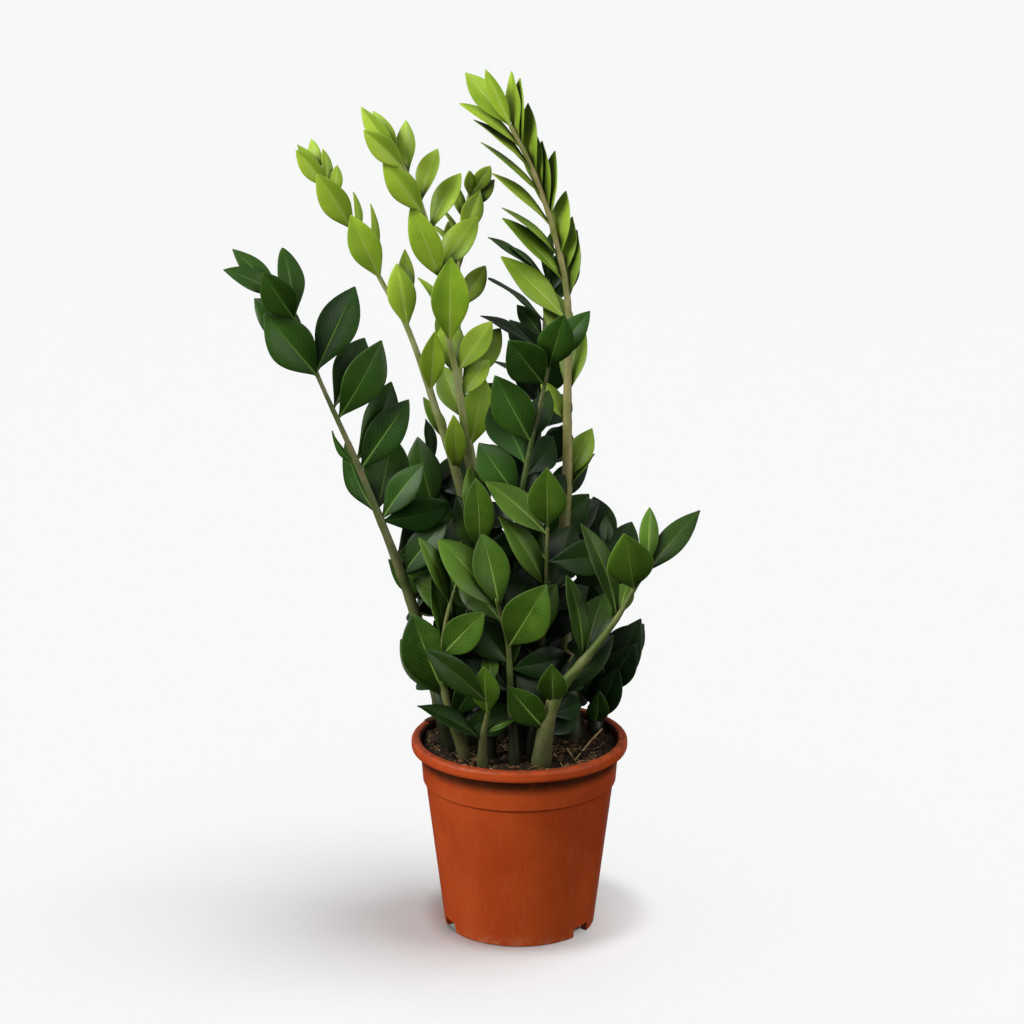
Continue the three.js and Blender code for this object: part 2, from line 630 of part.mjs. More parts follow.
let soil = soilSolid();
for (const stalk of stalks) soil = soil.subtract(stalk.solid(GAP));
const pot = potSolid();
take("pot", pot);
take("soil", soil);
for (const stalk of stalks) take(stalk.frond.name, stalk.solid());
for (const stalk of stalks) {
  for (const row of stalk.frond.leaves) place(stalk, row);
}
for (const [i, stalk] of stalks.entries()) {
  for (const row of innerLeaves(stalk.frond, FIRST_SEED + SEED_STEP * i)) place(stalk, row);
}

// ---- Scene ----

function addMesh(group, name, solid, [color, roughness]) {
  const material = new THREE.MeshStandardMaterial({ color, roughness, metalness: 0 });
  const mesh = new THREE.Mesh(geometryOf(solid), material);
  mesh.name = name;
  group.add(mesh);
}

const plant = new THREE.Group();
addMesh(plant, "pot", pot, POT_FINISH);
addMesh(plant, "soil", soil, SOIL_FINISH);
for (const stalk of stalks) {
  const frond = wasm.Manifold.union([stalk.solid(), ...blades.get(stalk)]);
  addMesh(plant, "frond_" + stalk.frond.name, frond, LEAF_FINISH[stalk.frond.tone]);
}

export default plant;
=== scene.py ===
import math
import random

import bmesh
import bpy
import numpy as np
from mathutils import Matrix, Vector, bvhtree, noise

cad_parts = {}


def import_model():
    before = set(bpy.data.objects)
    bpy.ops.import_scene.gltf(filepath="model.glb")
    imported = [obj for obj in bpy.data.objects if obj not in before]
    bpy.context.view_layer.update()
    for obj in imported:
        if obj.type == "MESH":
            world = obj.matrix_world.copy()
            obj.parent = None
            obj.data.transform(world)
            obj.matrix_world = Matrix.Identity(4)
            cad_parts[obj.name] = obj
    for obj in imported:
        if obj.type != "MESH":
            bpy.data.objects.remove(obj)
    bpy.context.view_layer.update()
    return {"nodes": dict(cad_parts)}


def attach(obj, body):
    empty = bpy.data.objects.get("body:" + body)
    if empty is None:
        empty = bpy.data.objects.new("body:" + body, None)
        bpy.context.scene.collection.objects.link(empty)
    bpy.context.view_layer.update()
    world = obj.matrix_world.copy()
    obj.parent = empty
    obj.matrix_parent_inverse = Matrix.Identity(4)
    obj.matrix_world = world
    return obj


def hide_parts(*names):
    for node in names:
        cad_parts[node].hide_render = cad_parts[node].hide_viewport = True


# The looks of a potted ZZ plant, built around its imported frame. The frame is in metres, +Z up, its front
# towards -Y. Sizes in this script are in millimetres, and MM turns them to metres.
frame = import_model()
MM = 0.001

# ---- Pot and soil: the same values as in the part's source ----

POT_HEIGHT = 154
RIM_RADIUS = 85
RIM_HEIGHT = 9
NECK_RADIUS = 78  # right below the rim
STEP_HEIGHT = 118
STEP_RADIUS = 76  # right above the step in the wall
STEP_DEPTH = 2
FOOT_RADIUS = 59.5
WALL = 1.6
FLOOR = 2.5
FOOT_HEIGHT = 3
FOOT_WIDTH = 5
SOLE = FOOT_HEIGHT + FLOOR  # height of the floor's upper face
PAD_RADIUS = 16
NOTCHES = 3
NOTCH_WIDTH = 18
NOTCH_HEIGHT = 8
NOTCH_TURN = -36  # degrees, of the first notch
DRAINS = 4
DRAIN_RADIUS = 4.5
DRAIN_CIRCLE = 36

SOIL_LEVEL = 146
SOIL_LUMP = 1.6
MOUND = dict(x=-60, y=4, height=5, spread=13)
GAP = 0.3

# ---- Fronds: the same values as in the part's source ----

ROOT_DEPTH = 50
ROOT_PULL = 0.85
ROOT_TAPER = 0.7
SWELL = 0.15  # extra share of the diameter at the soil
SWELL_SPAN = 0.12
STALK_TAPER = 1.6  # power of a stalk's taper to its tip
STEM_SHARE = 0.07  # width of the leaf's base, as a share of the leaf's
STEM_THICK = 1.5
FOLD = 12  # degrees that each half of a blade is raised from flat
LAST_SHARE = 0.985  # of the stalk, where the leaves at its tip start
REACHES = [0, 7, 14, 22, 32, 44]  # degrees a leaf may have been bent to stay clear
DIRECTIONS = 8  # that it may have been bent in
LENGTHS = [1, 0.8, 0.62]  # shares it may have been shortened to
FACING = np.array([0, -1, 0.15])  # where leaves turn their upper face
FIRST_SEED = 101
SEED_STEP = 13
INNER = dict(  # leaves that lean back into the bush, and what they draw more or less
    heading=60, rise=25, heading_draw=12, toward=-22, toward_draw=35, turn_draw=20, length=58, length_draw=5
)

# A frond's route is the line of its stalk, thick and tip are the stalk's diameters, broad is the width by
# length of its leaves, and arch is half of what they bend along their length, in radians.
# A leaf is [share of the stalk, heading, toward, turn, length, width / length]: heading is in degrees
# clockwise from straight up, as seen from the front, toward is in degrees out to the front, and turn is in
# degrees that the blade is rolled about its midrib. inner is [from share, to share, how many more].
FRONDS = [
    dict(
        name="front_small", tone="mid", broad=0.48, arch=0.25, thick=7.5, tip=2.6, inner=[0.5, 0.9, 0],
        route=[[-29, -50, 152], [-28, -55, 173], [-24, -62, 197], [-22, -67, 218]],
        leaves=[
            [0.25, -43, 18, 62, 62, 0.34], [0.35, 54, 10, -50, 27, 0.3], [0.6, -3, 30, 0, 46],
            [0.76, -33, 38, 24, 82, 0.27], [1, -2, -35, 0, 31, 0.45],
        ],
    ),
    dict(
        name="front_left", tone="mid", broad=0.5, arch=0.3, thick=9, tip=2.8, inner=[0.3, 0.9, 1],
        route=[[-43, -38, 152], [-54, -45, 191], [-60, -52, 226], [-56, -60, 266], [-49, -66, 294]],
        leaves=[
            [0.36, -22, 20, -10, 73, 0.55], [0.34, -36, -5, 10, 60, 0.45], [0.65, 5, -5, 55, 55, 0.45],
            [0.58, 27, 0, 80, 50, 0.3], [0.9, -10, 10, 50, 59, 0.32], [1, -2, -20, 0, 40, 0.45],
            [0.3, 35, -10, 0, 50, 0.45], [0.18, -23, 8, 0, 43, 0.6], [0.22, 1, -15, 20, 47, 0.5],
        ],
    ),
    dict(
        name="front_centre", tone="mid", broad=0.5, arch=0.3, thick=8.5, tip=2.8, inner=[0.25, 0.9, 4],
        route=[[-4, -45, 153], [-7, -52, 210], [-9, -59, 248], [-14, -66, 272], [-18, -74, 289]],
        leaves=[
            [0.67, 25, 40, 0, 71, 0.54], [0.9, -8, 8, 15, 62, 0.46], [0.9, -30, 5, 35, 73, 0.5],
            [0.56, -38, 15, 10, 55, 0.62],
        ],
    ),
    dict(
        name="right_low", tone="mid", broad=0.46, arch=0.35, thick=14, tip=3.2, inner=[0.3, 0.8, 0],
        route=[
            [17, -48, 152], [22, -53, 188], [31, -59, 212], [52, -69, 243], [71, -78, 272], [88, -86, 305],
            [97, -90, 319],
        ],
        leaves=[
            [0.13, -33, 30, 0, 53, 0.5], [0.26, -2, 30, 0, 47, 0.5], [0.27, 40, 0, -10, 70, 0.34],
            [0.48, 4, 10, 45, 71, 0.3], [0.5, 7, -10, -20, 57, 0.55], [0.73, -5, 10, 50, 80, 0.3],
            [0.74, 19, -20, 0, 32, 0.5], [0.88, -9, 50, 0, 62, 0.6], [0.96, 37, 0, -15, 65, 0.32],
            [0.98, 2, 0, 0, 48, 0.32], [0.16, -13, -5, 20, 62, 0.5],
        ],
    ),
    dict(
        name="mid_right", tone="mid", broad=0.5, arch=0.25, thick=9, tip=2.6, inner=[0.2, 0.9, 6],
        route=[[10, -30, 155], [16, -36, 233], [20, -42, 289], [21, -48, 340]],
        leaves=[
            [1, -1, 38, 0, 58, 0.55], [0.95, -40, 5, 35, 63, 0.42], [0.71, -19, 5, 55, 71, 0.4],
            [0.55, -24, -30, 10, 60, 0.6], [0.67, 22, -15, 0, 63, 0.55], [0.44, 27, -15, 0, 53, 0.5],
        ],
    ),
    dict(
        name="mid_left", tone="mid", broad=0.5, arch=0.3, thick=9, tip=2.6, inner=[0.2, 0.9, 6],
        route=[[-23, -30, 155], [-28, -34, 243], [-28, -36, 295], [-34, -38, 330]],
        leaves=[
            [0.9, 2, 30, 15, 67, 0.38], [0.86, -22, 5, 10, 56, 0.42], [1, 4, -5, 30, 55, 0.42],
            [0.78, 25, 0, -10, 44],
        ],
    ),
    dict(
        name="far_left", tone="dark", broad=0.5, arch=0.35, thick=13, tip=2.2, inner=[0.3, 0.6, 0],
        route=[
            [-55, -18, 155], [-68, -24, 218], [-82, -31, 270], [-101, -40, 329], [-125, -50, 395],
            [-148, -60, 453], [-164, -68, 499], [-183, -76, 532],
        ],
        leaves=[
            [0.79, -33, 28, 8, 65, 0.55], [0.7, 35, 10, 20, 69, 0.5], [0.59, 34, 8, 0, 66, 0.42],
            [0.5, 12, -5, 0, 60, 0.6], [0.48, 28, 20, -20, 58, 0.42], [0.49, -41, -8, -40, 74, 0.42],
            [0.6, -58, -15, -60, 35, 0.45], [0.61, 36, -15, 30, 71, 0.45], [0.72, 24, -15, 0, 65, 0.45],
            [0.8, 24, 0, 0, 72, 0.45], [0.85, -43, 20, 10, 55, 0.5], [0.91, -26, 45, 0, 50, 0.52],
            [0.91, -9, 0, 25, 55, 0.4], [0.95, -37, 0, 20, 55, 0.3], [0.96, -47, 10, 40, 48, 0.42],
            [0.4, 45, -25, 0, 62], [0.36, 20, 10, -20, 58, 0.45], [0.31, 70, -10, -20, 50],
        ],
    ),
    dict(
        name="light_mid", tone="light", broad=0.46, arch=0.3, thick=13, tip=2.8, inner=[0.6, 0.85, 0],
        route=[
            [-19, 14, 152], [-26, 15, 261], [-38, 12, 363], [-47, 6, 436], [-53, 2, 467], [-60, -8, 524],
            [-75, -22, 584], [-93, -34, 621],
        ],
        leaves=[
            [0.66, 1, 15, 0, 73, 0.41], [0.77, -19, 32, 0, 66, 0.37], [0.88, -33, 34, 0, 56, 0.38],
            [0.96, -38, 28, 10, 47, 0.4], [0.98, -37, 12, -10, 49, 0.32], [0.95, -9, -5, -20, 43, 0.36],
            [0.9, 8, -5, -32, 44, 0.44], [0.85, 18, 0, -35, 51, 0.42], [0.78, 21, 5, -28, 52, 0.5],
            [0.7, -22, -15, 50, 42, 0.3], [0.61, 32, -5, -10, 50, 0.42], [0.57, 36, -5, -10, 38, 0.42],
            [0.6, -12, -20, 0, 52], [0.98, -29, -8, 0, 44, 0.34],
        ],
    ),
    dict(
        name="light_left", tone="light", broad=0.42, arch=0.25, thick=15, tip=2.4, inner=[0.6, 0.9, 0],
        route=[
            [-36, 3, 154], [-36, 4, 256], [-44, 6, 344], [-64, 14, 413], [-85, 22, 474], [-103, 26, 507],
            [-128, 34, 552], [-148, 38, 583], [-156, 40, 596],
        ],
        leaves=[
            [0.45, 0, 10, 10, 48, 0.36], [0.5, -22, -10, 30, 46, 0.3], [0.59, 4, 12, 0, 52, 0.38],
            [0.7, -9, 12, 0, 52, 0.43], [0.73, 14, -15, 40, 51, 0.35], [0.79, -22, 22, 0, 58, 0.44],
            [0.82, 11, -20, 60, 49, 0.3], [0.88, -29, 28, 0, 56, 0.4], [0.87, 7, -15, 60, 36, 0.3],
            [0.96, -33, 22, 10, 40, 0.4], [0.94, 4, -5, 0, 27, 0.4], [0.97, -28, 8, 20, 37, 0.32],
            [0.96, 2, -5, 40, 32, 0.35], [0.98, -18, -4, -10, 35, 0.32], [0.62, 30, -25, 0, 44, 0.4],
        ],
    ),
    dict(
        name="tall_right", tone="light", broad=0.4, arch=0.15, thick=14, tip=3.6, inner=[0.4, 0.8, 0],
        route=[
            [42, 18, 149], [37, 20, 226], [34, 24, 290], [37, 28, 354], [37, 32, 417], [37, 38, 493],
            [27, 42, 544], [11, 44, 592], [-9, 46, 632],
        ],
        leaves=[
            [0.42, 15, -5, -20, 45, 0.5], [0.4, 30, -10, -65, 37], [0.51, -12, 5, 40, 39, 0.45],
            [0.55, 3, -12, -30, 60, 0.42], [0.62, -15, -10, 30, 56, 0.5], [0.67, -41, 5, 30, 73, 0.34],
            [0.73, -36, 5, 60, 71, 0.32], [0.7, 1, -10, -48, 57, 0.42], [0.77, -41, 0, 72, 60, 0.34],
            [0.77, -2, -5, -48, 52, 0.44], [0.82, -40, 5, 66, 64, 0.3], [0.83, -3, -5, -48, 54, 0.4],
            [0.87, -40, 5, 74, 64, 0.32], [0.84, -12, -5, -50, 57, 0.42], [0.91, -40, 5, 74, 62, 0.32],
            [0.9, -13, -5, -52, 58, 0.4], [0.95, -46, 5, 64, 60, 0.32], [0.95, -9, 0, -54, 54, 0.36],
            [0.96, -20, 0, -50, 55, 0.32], [0.99, -25, 12, -10, 50, 0.26], [0.99, -39, -8, 10, 57, 0.36],
            [0.87, -8, -14, -40, 54, 0.4], [0.74, 2, -14, -40, 48, 0.42],
        ],
    ),
    dict(
        name="light_short", tone="light", broad=0.45, arch=0.3, thick=11, tip=2.4, inner=[0.5, 0.8, 0],
        route=[
            [-9, 22, 152], [-22, 28, 256], [-35, 36, 360], [-44, 42, 406], [-47, 48, 461], [-47, 54, 521],
            [-43, 58, 552], [-38, 60, 578],
        ],
        leaves=[
            [0.53, 11, 5, 0, 57, 0.48], [0.64, 25, -10, -10, 59, 0.42], [0.68, -15, -20, 30, 50],
            [0.78, 25, -10, 0, 43, 0.42], [0.84, -5, -10, 20, 46, 0.4], [0.88, -30, -10, 60, 35, 0.25],
            [0.9, -16, -10, 60, 34, 0.25], [0.91, 24, 10, 10, 40], [0.94, -10, -5, 30, 34, 0.35],
            [0.96, 34, 5, 0, 34, 0.4], [0.98, 30, -5, 0, 33, 0.42], [1, 10, 0, 30, 21, 0.5],
            [0.58, -25, -20, 0, 52],
        ],
    ),
    dict(
        name="centre_dark", tone="dark", broad=0.52, arch=0.3, thick=10, tip=3, inner=[0.3, 0.7, 4],
        route=[
            [2, -20, 153], [-3, -26, 257], [-1, -32, 338], [6, -38, 387], [16, -46, 436], [23, -52, 469],
        ],
        leaves=[
            [0.97, 13, 40, 0, 52, 0.55], [0.93, -32, 45, 0, 55, 0.6], [0.78, -26, 15, 0, 61],
            [0.63, -25, 15, 0, 55, 0.55], [1, 32, 10, -15, 50, 0.42], [0.72, -21, 0, 160, 61, 0.62],
            [0.77, 13, -15, -20, 48, 0.45], [0.58, 8, -10, -10, 61, 0.45],
        ],
    ),
    dict(
        name="back_dark", tone="dark", broad=0.5, arch=0.2, thick=11, tip=3, inner=[0.35, 0.8, 5],
        route=[[21, 45, 147], [16, 52, 250], [14, 62, 329], [16, 72, 407], [20, 82, 468], [23, 88, 504]],
        leaves=[
            [0.76, -52, 0, 75, 46, 0.4], [0.83, -50, 5, 78, 60, 0.4], [0.86, -32, -10, 30, 36],
            [0.9, -40, 5, 80, 58, 0.4], [0.92, 28, -20, -40, 50], [0.95, 10, -10, -40, 46],
            [0.98, -39, 5, 82, 62, 0.35], [1, -36, 0, 80, 46, 0.3], [1, -5, 0, -60, 42],
        ],
    ),
    dict(
        name="right_back", tone="dark", broad=0.5, arch=0.3, thick=11, tip=3, inner=[0.2, 0.8, 3],
        route=[[60, 28, 149], [64, 38, 203], [66, 50, 246], [67, 62, 290]],
        leaves=[
            [0.15, 24, 0, -10, 77, 0.42], [0.17, 35, 10, -10, 56], [0.78, 25, -5, 0, 59],
            [0.88, -8, -10, 0, 66], [1, 10, -5, 20, 28], [0.5, 9, -10, 0, 63], [0.45, -15, -10, 0, 60],
            [0.02, -24, 10, 10, 39, 0.5], [0.04, 17, 8, -10, 51, 0.5], [0.1, -9, 5, 0, 59, 0.45],
        ],
    ),
    dict(
        name="left_back", tone="dark", broad=0.5, arch=0.3, thick=10, tip=3, inner=[0.25, 0.9, 4],
        route=[[-46, 28, 152], [-57, 38, 220], [-63, 48, 284], [-68, 56, 331], [-71, 60, 360]],
        leaves=[
            [0.6, -12, 0, 0, 75, 0.55], [0.9, -7, -10, 70, 32, 0.3], [1, 9, -10, 55, 39, 0.45],
            [0.75, -47, -10, 0, 34], [0.8, 15, -10, 0, 60], [0.45, -35, 0, 0, 60],
        ],
    ),
]

# ---- Finish of the geometry ----

ARC_STEPS = 400  # that a stalk's length is measured in
AHEAD = 0.002  # share of a stalk over which its direction is taken
TIP_NEAR = 0.05  # how near a CAD node's vertex lies to the tip of a leaf that it has
STALK_SIDES = 20
STALK_STEP = 3.5  # along the stalk
STALK_CLOSES = 0.6  # of its radius, at its very tip
NODE_BULGE = 0.07  # swelling where a leaflet grows, as a share of the radius
NODE_SPAN = 4  # along the stalk
NODE_MOST = 1.5  # swellings that lie together
POT_SIDES = 144

BLADE = 0.9  # thickness of a blade at its midrib
BLADE_ROWS = 24
BLADE_COLUMNS = [0, 0.07, 0.2, 0.4, 0.62, 0.82, 0.94, 1]  # from the midrib to an edge, as shares
BASE_ROWS = 4  # closer together than the others
BASE_SHARE = 0.12  # of the length, that these take
LAST_ROW = 0.985
BASE_POINT = 1.2  # power of the outline's curve to the base
TIP_POINT = 0.85  # and to the tip
STEM_SPAN = 0.15  # share of the length over which the stem thins to the blade
RIB = 0.55  # how far the midrib stands out below
RIB_WIDTH = 0.9
RIB_THINS = 0.6  # power of its taper to the tip
RIB_RISE = 9  # how fast it starts from the base
GROOVE = 0.22  # depth of the furrow over it
CREASE = 0.16  # share of the half width over which the fold is rounded
FULL_TURN = 6.28  # radians, near enough for a draw

# What each leaf draws between two ends.
TWIST = (-9, 9)  # degrees at its tip
LEAN = (1, 1.2)  # power that moves its widest place to the tip
TIP_POINTS = (0.8, 1.02)  # power of its outline to the tip
FOLD_MORE = (-4, 9)  # degrees
ROLL = (0.02, 0.16)  # how far its edges bend down, by the half width
WAVE = (0.2, 0.75)  # height of the wave of its edges
WAVES = (1.1, 1.9)  # how many run along it
WAVE_SHIFT = 0.25  # of a wave, to and fro for the two edges
WAVE_RISE = 4  # how fast the wave starts from the base
WAVE_WIDTH = 24  # width of a leaf below which its wave is lower


# ---- Curves and leaves, as in the part's source ----


class Stalk:
    """The smooth line through a frond's route, by share of its length."""

    def __init__(self, frond):
        self.frond = frond
        self.route = np.array(frond["route"], float)
        self.steps = np.linspace(0, 1, ARC_STEPS + 1)
        points = np.array([self.point(step) for step in self.steps])
        spans = np.linalg.norm(np.diff(points, axis=0), axis=1)
        self.reached = np.concatenate([[0], np.cumsum(spans)])
        self.length = self.reached[-1]

    def point(self, step):
        last = len(self.route) - 1
        i = min(int(step * last), last - 1)
        t = step * last - i
        start, end = self.route[i], self.route[i + 1]
        before = self.route[i - 1] if i else 2 * start - end
        after = self.route[i + 2] if i + 2 <= last else 2 * end - start
        leave, arrive = (end - before) / 2, (after - start) / 2
        square = 3 * (end - start) - 2 * leave - arrive
        cube = 2 * (start - end) + leave + arrive
        return start + t * leave + t**2 * square + t**3 * cube

    def at(self, share):
        return self.point(np.interp(share * self.length, self.reached, self.steps))

    def along(self, share):
        return unit(self.at(min(1, share + AHEAD)) - self.at(max(0, share - AHEAD)))

    def diameter(self, share):
        swell = 1 + SWELL * max(0, 1 - share / SWELL_SPAN)
        thick, tip = self.frond["thick"], self.frond["tip"]
        return (tip + (thick - tip) * (1 - share) ** STALK_TAPER) * swell


def unit(vector):
    return vector / np.linalg.norm(vector)


def smooth(value):
    """0 up to 0, 1 from 1, and a soft rise between."""
    value = np.clip(value, 0, 1)
    return value * value * (3 - 2 * value)


def angles(count, first=0):
    return [(i + first) * 2 * math.pi / count for i in range(count)]


def draws(seed):
    """Draws between -1 and 1, the same as in the part's source."""
    factor, prime = 16807, 2147483647
    while True:
        seed = seed * factor % prime
        yield seed / prime * 2 - 1


def inner_leaves(frond, seed):
    """Rows for the leaves that lean back into the bush, on alternate sides."""
    start, end, count = frond["inner"]
    draw = draws(seed)
    rows = []
    for i in range(count):
        share = start + (end - start) * (i + 0.5) / count
        side = -1 if i % 2 else 1
        heading = (INNER["heading"] - INNER["rise"] * share + INNER["heading_draw"] * next(draw)) * side
        toward = INNER["toward"] + INNER["toward_draw"] * next(draw)
        turn = INNER["turn_draw"] * next(draw)
        rows.append([share, heading, toward, turn, INNER["length"] + INNER["length_draw"] * next(draw)])
    return rows


def leaf_of(stalk, row, bend, shorten):
    """A leaf's place, directions and size from its row."""
    share, heading, toward, turn, length = row[:5]
    broad = row[5] if len(row) > 5 else stalk.frond["broad"]
    h, t = math.radians(heading + bend[0]), math.radians(toward + bend[1])
    along = np.array([math.sin(h) * math.cos(t), -math.sin(t), math.cos(h) * math.cos(t)])
    face = unit(FACING - along * np.dot(FACING, along))
    face = np.array(Matrix.Rotation(math.radians(turn), 3, Vector(along)) @ Vector(face))
    return dict(
        share=share, base=stalk.at(min(share, LAST_SHARE)), along=along, face=face,
        across=np.cross(along, face), length=length * shorten, width=length * shorten * broad,
        bend=2 * stalk.frond["arch"],
    )


def midline(leaf, u):
    """Points of the midrib, and the upward direction there, at the shares u."""
    turned = leaf["bend"] * u[:, None]
    radius = leaf["length"] / leaf["bend"]
    out = leaf["along"] * radius * np.sin(turned) - leaf["face"] * radius * (1 - np.cos(turned))
    up = leaf["face"] * np.cos(turned) + leaf["along"] * np.sin(turned)
    return leaf["base"] + out, up


def tip_of(leaf):
    return midline(leaf, np.array([1.0]))[0][0]


def bends():
    """How a leaf may have been bent, in degrees of heading and toward."""
    for reach in REACHES:
        for angle in angles(DIRECTIONS) if reach else [0]:
            yield reach * math.sin(angle), reach * math.cos(angle)


def fitted(stalk, row, vertices):
    """The leaf bent clear as the part's source bent it: its tip is one of the CAD node's vertices."""
    for shorten in LENGTHS:
        for bend in bends():
            leaf = leaf_of(stalk, row, bend, shorten)
            if np.linalg.norm(vertices - tip_of(leaf), axis=1).min() < TIP_NEAR:
                return leaf
    return None


# ---- Meshes ----


def new_object(name, points, faces, skin, slot):
    """A mesh piece from points in millimetres, which rides with the plant."""
    mesh = bpy.data.meshes.new(name)
    mesh.from_pydata([tuple(p) for p in np.asarray(points) * MM], [], [tuple(f) for f in faces])
    mesh.validate()
    piece = linked(name, mesh)
    mesh.materials.append(skin)
    mesh.shade_smooth()
    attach(piece, "root")
    return piece


def linked(name, data):
    piece = bpy.data.objects.new(name, data)
    bpy.context.scene.collection.objects.link(piece)
    return piece


def store(piece, name, values):
    """A value or a vector of three for each point, which the material reads."""
    values = np.asarray(values, np.float32)
    kind, key = ("FLOAT", "value") if values.ndim == 1 else ("FLOAT_VECTOR", "vector")
    layer = piece.data.attributes.new(name, kind, "POINT")
    layer.data.foreach_set(key, values.ravel())


def joined(parts):
    """The points and faces of several parts as one."""
    points, faces = [], []
    for part_points, part_faces in parts:
        start = len(points)
        points += list(part_points)
        faces += [tuple(start + k for k in face) for face in part_faces]
    return points, faces


def ring(centre, along, across, radius, sides):
    """Points round a line, square to it."""
    other = np.cross(along, across)
    return [centre + radius * (across * math.cos(a) + other * math.sin(a)) for a in angles(sides)]


def circle(radius, z, sides, x=0, y=0):
    """Points round an upright axis."""
    return [(x + radius * math.cos(a), y + radius * math.sin(a), z) for a in angles(sides)]


def strip(first, sides):
    """Faces between a ring of points, which starts at the first, and the next ring."""
    pairs = [(first + i, first + (i + 1) % sides) for i in range(sides)]
    return [(a, b, b + sides, a + sides) for a, b in pairs]


def tube(rings, sides):
    """Faces of a closed tube through rings that follow each other, with an end cap each."""
    last = (rings - 1) * sides
    faces = [face for r in range(rings - 1) for face in strip(r * sides, sides)]
    return faces + [tuple(range(sides - 1, -1, -1)), tuple(range(last, last + sides))]


def capped(rings, sides):
    """Faces from a first point through rings to a last point."""
    last = 1 + (rings - 1) * sides
    faces = [face for r in range(rings - 1) for face in strip(1 + r * sides, sides)]
    for i in range(sides):
        j = (i + 1) % sides
        faces += [(0, 1 + j, 1 + i), (last + i, last + j, last + sides)]
    return faces


def stalk_mesh(stalk, shares_of_leaves):
    """Points, faces and shares of a round stalk, from under the soil to a blunt tip."""
    up = np.array([0, 0, 1.0])
    foot = stalk.at(0) * [ROOT_PULL, ROOT_PULL, 1] - up * ROOT_DEPTH
    rings = [(foot, up, stalk.diameter(0) / 2 * ROOT_TAPER, 0)]
    for share in np.linspace(0, 1, int(stalk.length / STALK_STEP) + 2):
        near = [(share - leaf) * stalk.length / NODE_SPAN for leaf in shares_of_leaves]
        bulge = NODE_BULGE * min(NODE_MOST, sum(math.exp(-d * d) for d in near))
        close = 1 - STALK_CLOSES * smooth((share - LAST_SHARE) / (1 - LAST_SHARE))
        radius = stalk.diameter(share) / 2 * (1 + bulge) * close
        rings.append((stalk.at(share), stalk.along(share), radius, share))
    points, shares = [], []
    for centre, along, radius, share in rings:
        across = unit(np.array([1, 0, 0]) - along * along[0])
        points += ring(centre, along, across, radius, STALK_SIDES)
        shares += [share] * STALK_SIDES
    return points, tube(len(rings), STALK_SIDES), shares


def blade_grid():
    """The shares along and across a blade, and the faces of one, the same for every leaf.

    The upper and lower face share their edges, and a fan of faces closes the blade at its tip and base.
    """
    base = np.linspace(0, BASE_SHARE, BASE_ROWS + 1)[:-1]
    u = np.concatenate([base, np.linspace(BASE_SHARE, LAST_ROW, BLADE_ROWS - BASE_ROWS)])
    v = np.array([-c for c in reversed(BLADE_COLUMNS[1:])] + BLADE_COLUMNS)
    columns, rows = len(v), len(u)
    lower = rows * columns  # first point of the lower face, which has no edge columns
    inner = columns - 2

    def under(r, c):
        return r * columns + c if c in (0, columns - 1) else lower + r * inner + c - 1

    tip = lower + rows * inner
    faces = []
    for c in range(columns - 1):
        for r in range(rows - 1):
            a = r * columns + c
            faces.append((a, a + 1, a + columns + 1, a + columns))
            faces.append((under(r, c), under(r + 1, c), under(r + 1, c + 1), under(r, c + 1)))
        last = (rows - 1) * columns + c
        faces.append((last, last + 1, tip))
        faces.append((under(rows - 1, c), tip, under(rows - 1, c + 1)))
    faces.append(tuple([under(0, c) for c in range(columns)] + list(range(columns - 2, 0, -1))))
    return u, v, faces


GRID_U, GRID_V, GRID_FACES = blade_grid()


def half_widths(leaf, u, lean, point=TIP_POINT):
    """The CAD's outline with a finer base; lean moves its widest place, point sharpens its tip."""
    u = np.minimum(u, 1) ** lean
    bulge = np.sin(math.pi * u) ** np.where(u < 0.5, BASE_POINT, point)
    return leaf["width"] / 2 * np.maximum(STEM_SHARE, bulge)


def blade_mesh(leaf, rng):
    """Points of one blade, where each lies on it (share along, share across, mm across), and its face."""
    u, v = GRID_U[:, None], GRID_V[None, :]
    centre, up = midline(leaf, GRID_U)
    twist = rng.uniform(*TWIST) * smooth(u) * math.pi / 180
    across = leaf["across"] * np.cos(twist) + up * np.sin(twist)
    up = up * np.cos(twist) - leaf["across"] * np.sin(twist)
    half = half_widths(leaf, u, rng.uniform(*LEAN), rng.uniform(*TIP_POINTS))
    fold = math.radians(FOLD + rng.uniform(*FOLD_MORE))
    side = np.abs(v)
    crease = np.sqrt(side**2 + CREASE**2) - CREASE
    roll = rng.uniform(*ROLL) * side**3
    wave = rng.uniform(*WAVE) * min(1, leaf["width"] / WAVE_WIDTH) * side**2
    phase, waves = rng.uniform(0, FULL_TURN), rng.uniform(*WAVES)
    wave = wave * np.sin(FULL_TURN * (waves * u + WAVE_SHIFT * np.sign(v)) + phase)
    lift = half * (crease * math.sin(fold) - roll) + wave * smooth(u * WAVE_RISE)
    thick = BLADE + (STEM_THICK - BLADE) * (1 - smooth(u / STEM_SPAN))
    thick = thick / 2 * (1 - side**4) ** 0.5
    metric = v * half
    rib = np.exp(-((metric / RIB_WIDTH) ** 2)) * (1 - u) ** RIB_THINS * smooth(u * RIB_RISE)

    def surface(height, columns):
        out = centre[:, None] + across[:, None] * (metric * math.cos(fold))[..., None]
        return (out + up[:, None] * (lift + height)[..., None])[:, columns].reshape(-1, 3)

    middle = slice(1, -1)  # the columns between the edges, which the two faces share
    top = surface(thick - GROOVE * rib, slice(None))
    under = surface(-thick - RIB * rib, middle)
    points = np.concatenate([top, under, [tip_of(leaf)]])
    place = np.stack([u + 0 * v, v + 0 * u, metric], -1)
    place = np.concatenate([place.reshape(-1, 3), place[:, middle].reshape(-1, 3), [[1, 0, 0]]])
    below = np.concatenate([np.zeros(len(top)), np.ones(len(under) + 1)])
    return points, place, below


# ---- Materials: noise scales are per metre, and heights in ramps are in metres ----


